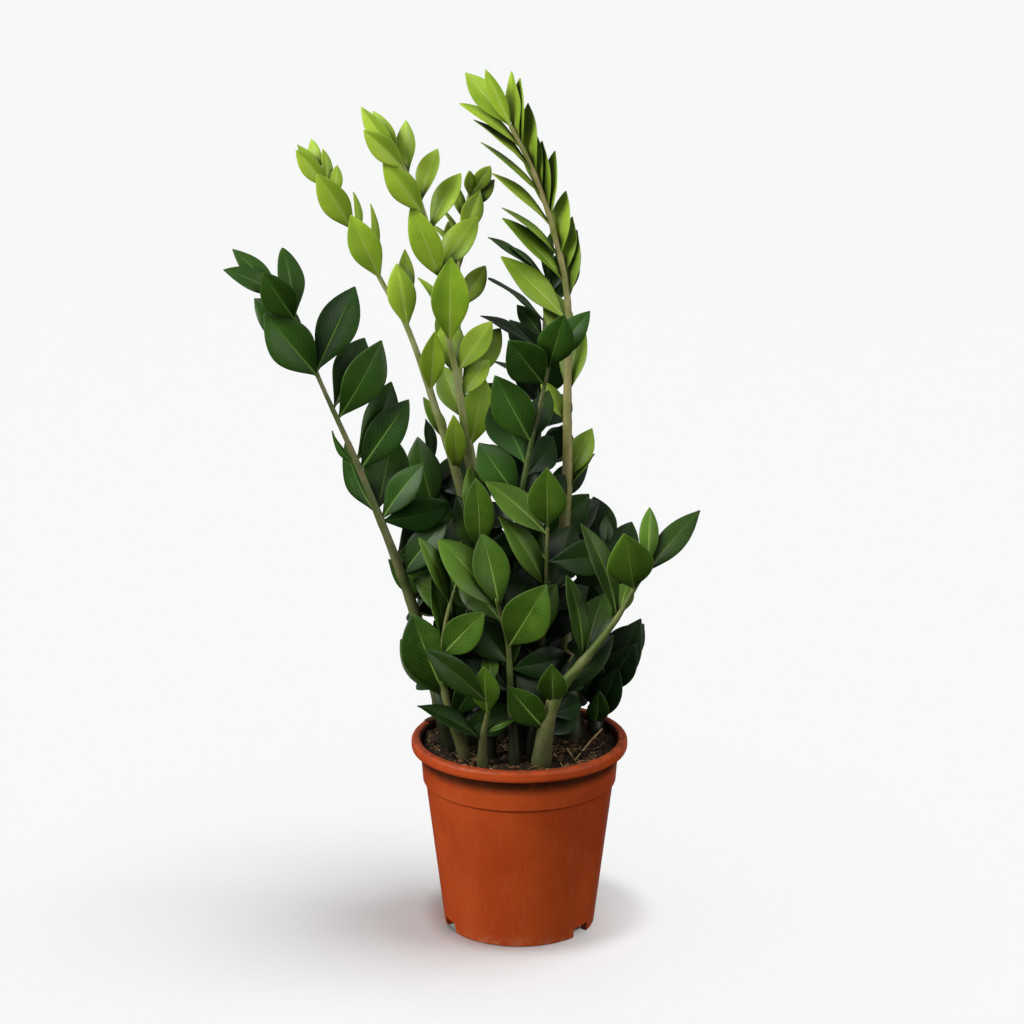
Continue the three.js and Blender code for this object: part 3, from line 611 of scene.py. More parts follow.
def colour(red, green, blue):
    """A colour given as it looks on screen, 0 to 255, as the linear values that shaders take."""
    shares = [c / 255 for c in (red, green, blue)]
    linear = [s / 12.92 if s <= 0.04045 else ((s + 0.055) / 1.055) ** 2.4 for s in shares]
    return (*linear, 1)


class Value:
    """What a shader's node gives, for sums and products that are written as such."""

    def __init__(self, shader, socket):
        self.shader = shader
        self.socket = socket

    def __add__(self, other):
        return self.shader.math("ADD", self, other)

    def __sub__(self, other):
        return self.shader.math("SUBTRACT", self, other)

    def __mul__(self, other):
        return self.shader.math("MULTIPLY", self, other)

    def __truediv__(self, other):
        return self.shader.math("DIVIDE", self, other)

    def ramp(self, low, high, start=0.0, end=1.0):
        """Runs smoothly from start to end while the value runs from low to high."""
        inputs = {"Value": self, "From Min": low, "From Max": high, "To Min": start, "To Max": end}
        return self.shader.node("MapRange", inputs, interpolation_type="SMOOTHSTEP")


class Shader:
    """The nodes of a material or world, written as expressions."""

    def __init__(self, owner, surface, constants):
        owner.use_nodes = True
        self.owner = owner
        self.tree = owner.node_tree
        self.surface = self.tree.nodes[surface]
        self.set(self.surface, constants)

    def set(self, node, inputs):
        for name, value in inputs.items():
            socket = node.inputs[name.replace("_", " ") if isinstance(name, str) else name]
            if isinstance(value, Value):
                self.tree.links.new(value.socket, socket)
            else:
                socket.default_value = value

    def node(self, kind, inputs, output=0, **settings):
        node = self.tree.nodes.new("ShaderNode" + kind)
        for name, value in settings.items():
            setattr(node, name, value)
        self.set(node, inputs)
        return Value(self, node.outputs[output])

    def value(self, name, kind="Fac"):
        """What a piece's points store under a name."""
        return self.node("Attribute", {}, kind, attribute_name=name)

    def split(self, vector):
        return [self.node("SeparateXYZ", {0: vector}, axis) for axis in "XYZ"]

    def place(self):
        return self.node("TexCoord", {}, "Object")

    def stretched(self, vector, scale):
        return self.node("Mapping", {"Vector": vector, "Scale": scale})

    def math(self, operation, a, b=0.0):
        return self.node("Math", {0: a, 1: b}, operation=operation)

    def mix(self, share, a, b):
        """Colours are inputs 6 and 7 of the node, and output 2."""
        return self.node("Mix", {0: share, 6: a, 7: b}, 2, data_type="RGBA")

    def layered(self, skin, *layers):
        """A colour with others laid over it, each by its share."""
        for share, over in layers:
            skin = self.mix(share, skin, over)
        return skin

    def noise(self, vector, scale, detail, rough=0.55):
        return self.node("TexNoise", dict(Vector=vector, Scale=scale, Detail=detail, Roughness=rough))

    def finish(self, skin, rough, height, depth):
        """Gives the surface its colour, its roughness and bumps of a depth in metres."""
        bump = self.node("Bump", dict(Height=height, Distance=depth, Strength=1.0))
        self.set(self.surface, {"Base Color": skin, "Roughness": rough, "Normal": bump})
        return self.owner


def material(name, **constants):
    return Shader(bpy.data.materials.new(name), "Principled BSDF", constants)


# foot is the colour towards a leaf's base: a paler green on young leaves, painted shade on the others.
# shaded_half is painted shade laid on one half of the blade, as far as fold.
LEAF_LOOKS = {
    "light": dict(
        deep=colour(118, 164, 28), pale=colour(190, 222, 66), rib=colour(208, 224, 122),
        under=colour(162, 190, 84), gloss=0.38, glow=0.15, shine=0.3,
        foot=colour(172, 204, 62), shaded_half=colour(84, 126, 24), fold=0.45,
    ),
    "mid": dict(
        deep=colour(38, 70, 14), pale=colour(96, 134, 38), rib=colour(150, 178, 88),
        under=colour(104, 136, 58), gloss=0.33, glow=0.06, shine=0.22,
        foot=colour(16, 38, 8), shaded_half=colour(16, 38, 8), fold=0.4,
    ),
    "dark": dict(
        deep=colour(16, 46, 12), pale=colour(60, 98, 28), rib=colour(110, 148, 66),
        under=colour(74, 110, 58), gloss=0.32, glow=0.03, shine=0.2,
        foot=colour(10, 28, 8), shaded_half=colour(10, 28, 8), fold=0.4,
    ),
}
PAINTED_SHADE_GREEN = colour(7, 18, 5)  # painted shade, where other leaves keep the light away
# darker green of old leaves and of those deep in the bush, partly painted shade
AGED_AND_SHADED_GREEN = colour(20, 48, 14)
VEIN_EVERY = 5.2  # mm along the midrib
VEIN_SLOPE = 1.5  # how steeply veins run to the tip
VEIN_WAVER = 1.6  # mm
GLOW_REACH = (0.5, 1.0, 0.15)  # of red, green and blue light within the skin, by the scale below
GLOW_SCALE = 2.5 * MM


def leaf_material(tone):
    """Waxy leaf skin: cloudy green, a pale midrib, faint side veins, a thin pale edge, a paler underside.

    Its green runs paler towards the base of young leaves and into painted shade at the base of the others;
    one half of the blade has painted shade, old leaves and those deep in the bush a darker green that is
    partly painted shade, and painted shade falls where other leaves keep the light away.
    """
    look = LEAF_LOOKS[tone]
    shader = material(
        "leaf_" + tone, Subsurface_Weight=look["glow"], Subsurface_Radius=GLOW_REACH,
        Subsurface_Scale=GLOW_SCALE, Specular_IOR_Level=look["shine"], Coat_Weight=0.04, Coat_Roughness=0.1,
    )
    u, v, metric = shader.split(shader.value("place", "Vector"))
    below, luck, shelter, old, length = map(shader.value, ["below", "luck", "shelter", "old", "length"])
    side, across = shader.math("ABSOLUTE", v), shader.math("ABSOLUTE", metric)
    where = shader.place()
    clouds = shader.noise(where, 70, 4)
    fine = shader.noise(where, 900, 2)

    # which half of the blade gets painted shade, and how much, by the leaf's luck
    turned = v * (luck - 0.5)
    run = u * length - across * VEIN_SLOPE + clouds * VEIN_WAVER
    veins = shader.math("SINE", run * (2 * math.pi / VEIN_EVERY)).ramp(0.55, 1.0) * side.ramp(0.95, 0.5)
    rib = (across / u.ramp(0.0, 0.95, 1.15, 0.25)).ramp(1.0, 0.3) * u.ramp(0.97, 0.6, end=0.85)
    skin = shader.layered(
        look["deep"],
        ((clouds * 0.55 + luck * 0.75).ramp(0.15, 1.0), look["pale"]),
        # painted shade at the base of mid and dark leaves; young leaves run paler there
        (u.ramp(0.5, 0.0, end=0.55), look["foot"]),
        # painted shade on one half of the blade
        (turned.ramp(0.0, 0.12, end=look["fold"]), look["shaded_half"]),
        (below * 0.75, look["under"]),
        (veins * 0.05, look["rib"]),
        (rib, look["rib"]),
        (side.ramp(0.96, 1.0, end=0.4), look["rib"]),
        (fine * 0.12, look["deep"]),
        # darker green of old leaves and of leaves deep in the bush, partly painted shade
        (old * 0.85, AGED_AND_SHADED_GREEN),
        # painted shade where other leaves and stalks keep the light away
        (shelter.ramp(0.08, 0.85, end=0.9), PAINTED_SHADE_GREEN),
    )
    rough = clouds * 0.16 + look["gloss"] + below * 0.18
    return shader.finish(skin, rough, veins * -0.35 + fine * 0.25, 0.12 * MM)


STALK_LOOKS = {
    "light": [colour(148, 160, 84), colour(178, 182, 120), colour(116, 126, 66)],
    "mid": [colour(96, 114, 52), colour(130, 134, 78), colour(66, 78, 38)],
    "dark": [colour(78, 98, 46), colour(112, 118, 74), colour(50, 62, 32)],
    "olive": [colour(92, 106, 56), colour(128, 124, 84), colour(64, 68, 42)],
    "buff": [colour(140, 144, 78), colour(174, 160, 106), colour(112, 96, 58)],
}
STALK_FOOT = colour(60, 54, 32)  # earth on a stalk's foot
EARTH_FULL = 170 * MM  # height up to which it lies thick
EARTH_END = 225 * MM
EARTH_WAVER = 30 * MM


def stalk_material(tone):
    """Smooth skin, green to buff, with fine dark flecks that run round the stalk, and earth at its foot."""
    green, buff, fleck = STALK_LOOKS[tone]
    shader = material("stalk_" + tone, Coat_Weight=0.1, Coat_Roughness=0.3)
    where = shader.place()
    patches = shader.noise(where, 60, 3)
    flecks = shader.noise(shader.stretched(where, (1, 1, 2.2)), 420, 2).ramp(0.56, 0.7, end=0.35)
    height = shader.split(where)[2] + patches * EARTH_WAVER
    skin = shader.layered(
        green,
        (patches.ramp(0.35, 0.65), buff),
        (shader.value("share").ramp(0.25, 0.0, end=0.5), green),
        (flecks, fleck),
        (height.ramp(EARTH_END, EARTH_FULL, end=0.75), STALK_FOOT),
        # painted shade from the bush round the stalk, and at the foot of most stalks
        (shader.value("shelter").ramp(0.25, 1.0, end=0.85), PAINTED_SHADE_GREEN),
    )
    bumps = flecks + shader.noise(where, 1500, 2)
    return shader.finish(skin, patches.ramp(0.2, 0.8, 0.38, 0.55), bumps, 0.12 * MM)


INSIDE_DARK_FROM = 130 * MM  # height from which the inside of the pot runs darker
INSIDE_DARK_FULL = 140 * MM
DUST_END = 12 * MM  # height up to which the outside is dusty


def pot_material():
    """Orange nursery plastic: satin, cloudy, rubbed in upright streaks and specked, dusty at its foot.

    The rim is brown with earth, and the inside near it runs dark brown.
    """
    shader = material("pot_plastic", Specular_IOR_Level=0.18)
    where = shader.place()
    x, y, height = shader.split(where)
    clouds = shader.noise(where, 16, 4)
    streaks = shader.noise(shader.stretched(where, (1, 1, 0.12)), 240, 3)
    grain = shader.noise(where, 1400, 2)
    dust = shader.noise(where, 110, 5, 0.65)
    rim = height.ramp((POT_HEIGHT - 3) * MM, POT_HEIGHT * MM) * dust.ramp(0.35, 0.6)
    out = shader.math("SQRT", x * x + y * y)
    inside = out.ramp((NECK_RADIUS + 1) * MM, (NECK_RADIUS - 0.5) * MM)
    # the inside near the rim runs dark brown, in patches
    darker_inside = inside * height.ramp(INSIDE_DARK_FROM, INSIDE_DARK_FULL) * dust.ramp(0.2, 0.5, 0.6, 0.95)
    foot = height.ramp(DUST_END, 0.0) * dust.ramp(0.45, 0.65)
    specks = shader.noise(where, 520, 2).ramp(0.7, 0.76, end=0.6)
    skin = shader.layered(
        colour(176, 68, 28),
        (clouds.ramp(0.3, 0.7), colour(192, 80, 34)),
        (streaks.ramp(0.5, 0.75, end=0.25), colour(198, 98, 58)),
        (rim * 0.6, colour(104, 54, 32)),
        (darker_inside, colour(52, 30, 18)),
        (foot * 0.6, colour(196, 128, 92)),
        (specks, colour(120, 48, 24)),
    )
    rough = streaks.ramp(0.3, 0.7, 0.3, 0.42) + rim * 0.3
    return shader.finish(skin, rough, streaks * 0.6 + grain, 0.08 * MM)


def earth_material(name, dark, pale, grain=700):
    """Crumbly matter between two colours, by the piece's own draw and by noise."""
    shader = material(name, Specular_IOR_Level=0.25)
    where = shader.place()
    clods = shader.noise(where, 160, 5, 0.7)
    fine = shader.noise(where, grain, 4, 0.7)
    shade = clods * 0.6 + shader.value("luck") * 0.6
    skin = shader.layered(dark, (shade.ramp(0.25, 0.95), pale), (fine.ramp(0.4, 0.75, end=0.5), dark))
    return shader.finish(skin, fine.ramp(0.2, 0.8, 0.8, 1.0), fine + clods, 0.6 * MM)


# ---- Fronds ----

SLOTS = dict(light="young_leaf", mid="leaf", dark="old_leaf")
STALK_TONES = dict(far_left="olive", tall_right="buff")

# More leaves than the CAD has, by rows like those above, each bent or smaller where it isn't clear.
EXTRA = dict(
    front_left=[[0.14, -25, 2, 0, 66, 0.48]], right_low=[[0.1, 60, -40, 0, 50, 0.5]],
    centre_dark=[[0.12, 60, -10, 0, 56], [0.1, -50, -10, 0, 56]],
)
EXTRA_SIZES = (1, 0.85, 0.7)

# Smaller leaves deep in the bush, past what the CAD has: from share, to share, how many.
FILL = dict(
    front_left=(0.1, 0.9, 8), front_centre=(0.1, 0.9, 9), right_low=(0.1, 0.5, 4),
    mid_right=(0.04, 0.9, 13), mid_left=(0.04, 0.9, 13), far_left=(0.05, 0.5, 9),
    centre_dark=(0.04, 0.75, 18), back_dark=(0.04, 0.8, 20), right_back=(0.04, 0.95, 14),
    left_back=(0.04, 0.95, 13), tall_right=(0.04, 0.3, 6),
)
FILL_SEED = 31
FILL_TRIES = 24
FILL_HEADING = (20, 85)  # what each draws, in degrees
FILL_TOWARD = (-75, 25)
FILL_TURN = (-35, 35)
FILL_LENGTH = (44, 62)
FILL_CLEAR = 1.2  # free space on both faces
FILL_FROM = 0.25  # share of a leaf from which it has to be clear of its own frond
FILL_OVER_POT = 2
FILL_FRONT = -52  # how far to the front their tips may reach
FILL_BACK = 106  # and to the back
BUSH_HALF = 86  # half the width of the bush
BUSH_SHOULDER = 300  # height from which it narrows
BUSH_NARROWS = 0.3

SHEET_ROWS = 7  # of a coarse blade
SHEET_END = 0.98  # share of the leaf where it ends
SHEET_LEAN = 1.1
SHELTER_SEED = 5
SHELTER_RAYS = 60
SHELTER_TOWARD = (-0.35, -0.6, 0.7)  # about where the light comes from
SHELTER_REACH = 130
SHELTER_LIFT = 1.5  # how far above a blade its rays start
SHELTER_START = 0.08  # share of a leaf where they do
SHELTER_SLANT = 0.1  # least slant of a ray to the face that it leaves
STALK_SHELTERS = 40  # places along a stalk

LIT_STALKS = dict(light_left=290, light_mid=290, tall_right=320, right_low=150)  # with less painted shade from these heights
LIT_SHARE = 0.6  # of the painted shade, that they lose there
FEET_SEEN = ("right_low", "front_left", "front_small")  # stalks that get no painted shade at their foot
FOOT_DARK = 175  # the others' height up to where their painted shade is full
DARK_FADE = 45  # height over which painted shade gives way to light
AGE_AND_SHADE_SHARE = 0.85
AGED_AND_SHADED_LEAVES = dict(  # darker green than the rest of their frond, partly painted shade, by their place in its list
    right_low=[2, 8, 10], front_left=[1, 7, 8], front_small=[0, 3], front_centre=[3], mid_left=[3],
    mid_right=[4, 5],
)
OWN_LUCK = 0.6  # how much of a leaf's lightness it draws
PLACE_LUCK = 0.4  # and how much comes from its place on the stalk


class Frond:
    """A frond's stalk and the leaves that its CAD node has."""

    def __init__(self, i, row):
        self.row = row
        self.name = row["name"]
        self.seed = FIRST_SEED + i
        self.stalk = Stalk(row)
        node = frame["nodes"]["frond_" + self.name]
        vertices = np.array([vertex.co for vertex in node.data.vertices]) / MM
        rows = row["leaves"] + inner_leaves(row, FIRST_SEED + SEED_STEP * i)
        self.leaves = []
        for k, one in enumerate(rows):
            leaf = fitted(self.stalk, one, vertices)
            if leaf:
                # the leaves listed get a darker green, partly painted shade
                leaf["old"] = AGE_AND_SHADE_SHARE if k in AGED_AND_SHADED_LEAVES.get(self.name, []) else 0.0
                self.leaves.append(leaf)
        self.tree = self.solid_tree()

    def solid(self):
        """Coarse points and faces of the stalk and its leaves."""
        sheets = [(sheet(leaf, 0, 0), SHEET_FACES) for leaf in self.leaves]
        return joined([stalk_mesh(self.stalk, [])[:2], *sheets])

    def solid_tree(self):
        return bvhtree.BVHTree.FromPolygons(*self.solid())


def sheet(leaf, start, lift):
    """Points of a coarse blade, from a share of its length on, raised by lift."""
    u = np.linspace(start, SHEET_END, SHEET_ROWS)
    v = np.array([-1, 0, 1])
    centre, up = midline(leaf, u)
    half = half_widths(leaf, u, SHEET_LEAN)[:, None]
    fold = math.radians(FOLD)
    out = centre[:, None] + leaf["across"] * (v * half * math.cos(fold))[..., None]
    return (out + up[:, None] * (np.abs(v) * half * math.sin(fold) + lift)[..., None]).reshape(-1, 3)


def sheet_faces():
    corners = [3 * r + c for r in range(SHEET_ROWS - 1) for c in (0, 1)]
    return [(a, a + 1, a + 4, a + 3) for a in corners]


SHEET_FACES = sheet_faces()


def is_clear(frond, leaf, fronds):
    """Whether a leaf of the frond lies in the bush, above the pot, and crosses nothing."""
    x, y, z = tip_of(leaf)
    half = BUSH_HALF - BUSH_NARROWS * max(0, z - BUSH_SHOULDER)
    if abs(x) > half or not FILL_FRONT < y < FILL_BACK:
        return False
    for other in fronds:
        start = FILL_FROM if other is frond else 0
        for lift in (-FILL_CLEAR, FILL_CLEAR):
            points = sheet(leaf, start, lift)
            if points[3:, 2].min() < POT_HEIGHT + FILL_OVER_POT:
                return False
            if bvhtree.BVHTree.FromPolygons(points.tolist(), SHEET_FACES).overlap(other.tree):
                return False
    return True


def add_clear(frond, tries, fronds):
    """Gives the frond the first of the leaves that crosses nothing."""
    for leaf in tries:
        if is_clear(frond, leaf, fronds):
            # painted shade: every added leaf, deep in the bush, gets the full darker green
            leaf["old"] = 1.0
            frond.leaves.append(leaf)
            frond.tree = frond.solid_tree()
            return


def fill_bush(fronds):
    """Leaves on alternate sides that lean back into the bush, each where it crosses nothing."""
    rng = random.Random(FILL_SEED)
    for frond in fronds:
        for row in EXTRA.get(frond.name, []):
            tries = [leaf_of(frond.stalk, row, bend, size) for size in EXTRA_SIZES for bend in bends()]
            add_clear(frond, tries, fronds)
    for frond in fronds:
        start, end, count = FILL.get(frond.name, (0, 0, 0))
        for i in range(count):
            side = -1 if i % 2 else 1
            tries = []
            for _ in range(FILL_TRIES):
                share = start + (end - start) * (i + rng.random()) / count
                heading = side * rng.uniform(*FILL_HEADING)
                rest = [rng.uniform(*ends) for ends in (FILL_TOWARD, FILL_TURN, FILL_LENGTH)]
                tries.append(leaf_of(frond.stalk, [share, heading, *rest], (0, 0), 1))
            add_clear(frond, tries, fronds)


def met_shares(points, rays, tree):
    """For each point, the share of the rays from it that meet a leaf or a stalk nearby."""
    met = [[tree.ray_cast(point, ray, SHELTER_REACH)[0] is not None for ray in rays] for point in points]
    return np.array(met, float).mean(axis=1)


def shelter_rays():
    """Directions all round where the light comes from, by draws within a ball."""
    rng = random.Random(SHELTER_SEED)
    rays = []
    while len(rays) < SHELTER_RAYS:
        ray = np.array([rng.uniform(-1, 1) for _ in range(3)])
        if 0.1 < np.linalg.norm(ray) < 1 and np.dot(unit(ray), SHELTER_TOWARD) > 0:
            rays.append(unit(ray))
    return rays


def shelter_leaves(fronds):
    """How much of the light each leaf's two faces and each stalk's lit side lose to what grows round them,
    over a coarse grid, which their materials paint as shade.
    """
    rays = shelter_rays()
    tree = bvhtree.BVHTree.FromPolygons(*joined([frond.solid() for frond in fronds]))
    for frond in fronds:
        for leaf in frond.leaves:
            leaf["shelter"] = []
            for lift in (SHELTER_LIFT, -SHELTER_LIFT):
                out = math.copysign(1, lift) * leaf["face"]
                own = [Vector(ray) for ray in rays if np.dot(ray, out) > SHELTER_SLANT]
                starts = [Vector(p) for p in sheet(leaf, SHELTER_START, lift)]
                met = met_shares(starts, own, tree).reshape(SHEET_ROWS, 3) if own else None
                leaf["shelter"].append(met)
        frond.shelter = met_shares(stalk_sides(frond.stalk), [Vector(ray) for ray in rays], tree)


def stalk_sides(stalk):
    """Points just off the stalk on its lit side, evenly along it."""
    points = []
    for share in np.linspace(0, 1, STALK_SHELTERS):
        along = stalk.along(share)
        out = unit(np.array(SHELTER_TOWARD) - along * np.dot(SHELTER_TOWARD, along))
        points.append(Vector(stalk.at(share) + out * (stalk.diameter(share) / 2 + SHELTER_LIFT)))
    return points


def spread_shelter(leaf, place, below):
    """The painted shade at each point of a blade, from the coarse grids of its two faces."""
    u, v = place[:, 0], place[:, 1]
    rows = np.linspace(SHELTER_START, SHEET_END, SHEET_ROWS)
    out = np.ones(len(place))
    for face, grid in enumerate(leaf["shelter"]):
        if grid is not None:
            left, middle, right = (np.interp(u, rows, column) for column in grid.T)
            here = middle + np.maximum(v, 0) * (right - middle) + np.maximum(-v, 0) * (left - middle)
            out = np.where(below == face, here, out)
    return out


def stalk_shelters(frond, heights, shares):
    """The painted shade at each point of a stalk, which on most stalks is full at the foot, where it lies
    in the shade of the bush.
    """
    shelters = np.interp(shares, np.linspace(0, 1, STALK_SHELTERS), frond.shelter)
    # less painted shade up the stalks that are lit
    if frond.name in LIT_STALKS:
        lit = smooth((heights - LIT_STALKS[frond.name]) / DARK_FADE)
        shelters = shelters * (1 - LIT_SHARE * lit)
    # full painted shade at the foot of the other stalks, below FOOT_DARK
    if frond.name in FEET_SEEN:
        return shelters
    return np.maximum(shelters, 1 - smooth((heights - FOOT_DARK) / DARK_FADE))


def frond_pieces(frond):
    """A frond's stalk and its leaves, which stand for its node."""
    tone, slot = frond.row["tone"], SLOTS[frond.row["tone"]]
    points, faces, shares = stalk_mesh(frond.stalk, [leaf["share"] for leaf in frond.leaves])
    skin = STALK_SKINS[STALK_TONES.get(frond.name, tone)]
    stem = new_object("stalk_" + frond.name, points, faces, skin, slot)
    store(stem, "share", shares)
    store(stem, "shelter", stalk_shelters(frond, np.array(points)[:, 2], shares))
    foliage = blades(frond, LEAF_SKINS[tone], slot)
    for piece in (stem, foliage):
        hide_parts("frond_" + frond.name)


def blades(frond, skin, slot):
    """A frond's leaves as one piece, with what their material reads."""
    rng = random.Random(frond.seed)
    parts, values = [], {}
    for leaf in frond.leaves:
        points, place, below = blade_mesh(leaf, rng)
        parts.append((points, GRID_FACES))
        luck = OWN_LUCK * rng.random() + PLACE_LUCK * leaf["share"] ** 2
        every = np.ones(len(points))
        own = dict(
            place=place, below=below, luck=luck * every, shelter=spread_shelter(leaf, place, below),
            old=leaf["old"] * every, length=leaf["length"] * every,
        )
        for key, value in own.items():
            values.setdefault(key, []).append(value)
    piece = new_object("leaves_" + frond.name, *joined(parts), skin, slot)
    for key, value in values.items():
        store(piece, key, np.concatenate(value))
    return piece


# ---- Pot ----

CORNER = 1.1  # rounding of the pot's corners
CORNER_MOST = 0.45  # of the shorter side at a corner
CORNER_STEPS = 4
SHARP_FROM = 40  # degrees between two faces
NOTCH_CORNER = 2.5
NOTCH_STEPS = 8


def rounded(profile, radius, steps):
    """The profile with its corners eased, both ends kept."""
    points = [np.array(p, float) for p in profile]
    out = [points[0]]
    for before, corner, after in zip(points, points[1:], points[2:]):
        back, on = before - corner, after - corner
        cut = min(radius, CORNER_MOST * np.linalg.norm(back), CORNER_MOST * np.linalg.norm(on))
        start, end = corner + unit(back) * cut, corner + unit(on) * cut
        for k in range(steps + 1):
            t = k / steps
            out.append((1 - t) ** 2 * start + 2 * t * (1 - t) * corner + t**2 * end)
    return [*out, points[-1]]


def lathe(profile, sides):
    """A closed body from a profile of (radius, height) that starts and ends on the axis."""
    points = [(0, 0, profile[0][1])]
    for radius, z in profile[1:-1]:
        points += circle(radius, z, sides)
    points.append((0, 0, profile[-1][1]))
    return points, capped(len(profile) - 2, sides)


def inner_profile():
    """The inside of the wall as (radius, height), from the floor to the rim."""
    return [
        (FOOT_RADIUS - WALL, SOLE),
        (STEP_RADIUS - STEP_DEPTH - WALL, STEP_HEIGHT + 1),
        (STEP_RADIUS - WALL, STEP_HEIGHT + 2),
        (NECK_RADIUS - WALL, POT_HEIGHT - RIM_HEIGHT),
    ]


def inner_radius(z):
    radii, heights = zip(*inner_profile())
    return float(np.interp(z, heights, radii))


def pot_profile():
    """The whole wall as (radius, height): out along the pad and foot, up, over the rim and down inside."""
    base = POT_HEIGHT - RIM_HEIGHT
    foot_inner = FOOT_RADIUS - FOOT_WIDTH
    return [
        (0, 0), (PAD_RADIUS, 0), (PAD_RADIUS, FOOT_HEIGHT), (foot_inner, FOOT_HEIGHT), (foot_inner, 0),
        (FOOT_RADIUS, 0), (STEP_RADIUS - STEP_DEPTH, STEP_HEIGHT), (STEP_RADIUS, STEP_HEIGHT + 1),
        (NECK_RADIUS, base), (RIM_RADIUS - 0.8, base), (RIM_RADIUS, base + 2), (RIM_RADIUS, POT_HEIGHT - 2),
        (RIM_RADIUS - 1.6, POT_HEIGHT), (RIM_RADIUS - 6, POT_HEIGHT), (RIM_RADIUS - 7.5, POT_HEIGHT - 1.5),
        *inner_profile()[::-1], (0, SOLE),
    ]


def cutter(points, faces):
    mesh = bpy.data.meshes.new("cutter")
    mesh.from_pydata([tuple(c * MM for c in p) for p in points], [], faces)
    return linked("cutter", mesh)


def notch_cutter(angle):
    """An arched opening through the foot ring."""
    half, depth, top = NOTCH_WIDTH / 2, 1.5 * FOOT_WIDTH, NOTCH_HEIGHT
    quarter = [k * math.pi / 2 / NOTCH_STEPS for k in range(NOTCH_STEPS + 1)]
    ease = [(NOTCH_CORNER * (1 - math.cos(a)), NOTCH_CORNER * (1 - math.sin(a))) for a in quarter]
    arch = [(-half, -top), (half, -top)]
    arch += [(half - aside, top - down) for aside, down in ease]
    arch += [(aside - half, top - down) for aside, down in reversed(ease)]
    turn = Matrix.Rotation(angle, 3, "Z")
    points = [turn @ Vector((FOOT_RADIUS + x, y, z)) for x in (-depth, depth) for y, z in arch]
    return cutter(points, tube(2, len(arch)))


def drain_cutter(angle, sides=32):
    """A round hole through the floor."""
    x, y = DRAIN_CIRCLE * math.cos(angle), DRAIN_CIRCLE * math.sin(angle)
    ends = [circle(DRAIN_RADIUS, FOOT_HEIGHT + z, sides, x, y) for z in (-2 * FLOOR, 2 * FLOOR)]
    return cutter(ends[0] + ends[1], tube(2, sides))


def pot():
    """The pot with its holes, which stands for its node."""
    points, faces = lathe(rounded(pot_profile(), CORNER, CORNER_STEPS), POT_SIDES)
    piece = new_object("pot_shell", points, faces, pot_material(), "pot")
    cutters = [notch_cutter(math.radians(NOTCH_TURN) + angle) for angle in angles(NOTCHES)]
    cutters += [drain_cutter(angle) for angle in angles(DRAINS, 0.5)]
    for one in cutters:
        cut = piece.modifiers.new("cut", "BOOLEAN")
        cut.object = one
        cut.operation = "DIFFERENCE"
        cut.solver = "EXACT"
    whole = bpy.data.meshes.new_from_object(piece.evaluated_get(bpy.context.evaluated_depsgraph_get()))
    piece.modifiers.clear()
    piece.data = whole
    for one in cutters:
        bpy.data.objects.remove(one)
    whole.shade_smooth()
    whole.set_sharp_from_angle(angle=math.radians(SHARP_FROM))
    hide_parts("pot")
    return piece


# ---- Soil ----

SOIL_RINGS = 84
SOIL_SIDES = 288
SOIL_CROWDS = 0.9  # power that brings the rings closer to each other towards the wall
SOIL_SEED = 7
SOIL_CLIMB = dict(start=52, span=20, height=2.5)  # finer soil that lies higher against the wall
SOIL_GRAIN = [(0.16, 3.1, 1.6), (0.42, 9.7, 1.1)]  # noise that is (fine, from a layer, high)
SOIL_CRUMBLE = (0.95, 5.3, 0.9)  # and the finest, which only rises
EDGE_LOW = 3  # below the soil's level, the height of the wall that its edge fits
EDGE_DROP = 1.6  # of the top, towards its edge
EDGE_SPAN = 5
HEAP = dict(x=-56, y=-34, height=3.5, spread=17)
EARTH = colour(22, 17, 11)
EARTH_PALE = colour(76, 56, 34)
BED_LUCK = 0.3  # in place of a draw
STRAND_LUCK = 0.5


def mound(heap, x, y):
    """How much a heap adds to the soil's height."""
    reach = math.hypot(x - heap["x"], y - heap["y"]) / heap["spread"]
    return heap["height"] * math.exp(-reach * reach)


def uneven(layer, x, y):
    """How much a layer of noise adds to the soil's height."""
    fine, level, height = layer
    return noise.noise(Vector((x * fine, y * fine, level))) * height


def soil_top(x, y):
    """Height of the soil, with the lumps of the part's source and finer ones."""
    lumps = math.sin(x * 0.21 + 1.3) * math.cos(y * 0.17) + 0.6 * math.sin(x * 0.11 - y * 0.23 + 2)
    height = SOIL_LEVEL + SOIL_LUMP * lumps + mound(MOUND, x, y)
    height += SOIL_CLIMB["height"] * smooth((math.hypot(x, y) - SOIL_CLIMB["start"]) / SOIL_CLIMB["span"])
    height += mound(HEAP, x, y)
    return height + sum(uneven(layer, x, y) for layer in SOIL_GRAIN) + abs(uneven(SOIL_CRUMBLE, x, y))


def soil_body():
    """A closed body that fills the pot, with a lumpy top that drops a little at the wall."""
    edge = inner_radius(SOIL_LEVEL - EDGE_LOW) - GAP
    points = [(0, 0, SOLE + GAP)]
    below = inner_profile()[:-1]
    for radius, z in below:
        points += circle(radius - GAP, z + GAP, SOIL_SIDES)
    for k in range(SOIL_RINGS):
        radius = edge * (1 - k / SOIL_RINGS) ** SOIL_CROWDS
        drop = EDGE_DROP * smooth((radius - edge + EDGE_SPAN) / EDGE_SPAN)
        points += [(x, y, soil_top(x, y) - drop) for x, y, _ in circle(radius, 0, SOIL_SIDES)]
    points.append((0, 0, soil_top(0, 0)))
    return points, capped(len(below) + SOIL_RINGS, SOIL_SIDES)


def soil_piece(name, parts, lucks, skin):
    """Parts as one piece of the soil, each with a draw of its own that the material reads."""
    piece = new_object(name, *joined(parts), skin, "soil")
    store(piece, "luck", [luck for luck, (points, _) in zip(lucks, parts) for _ in points])
    return piece


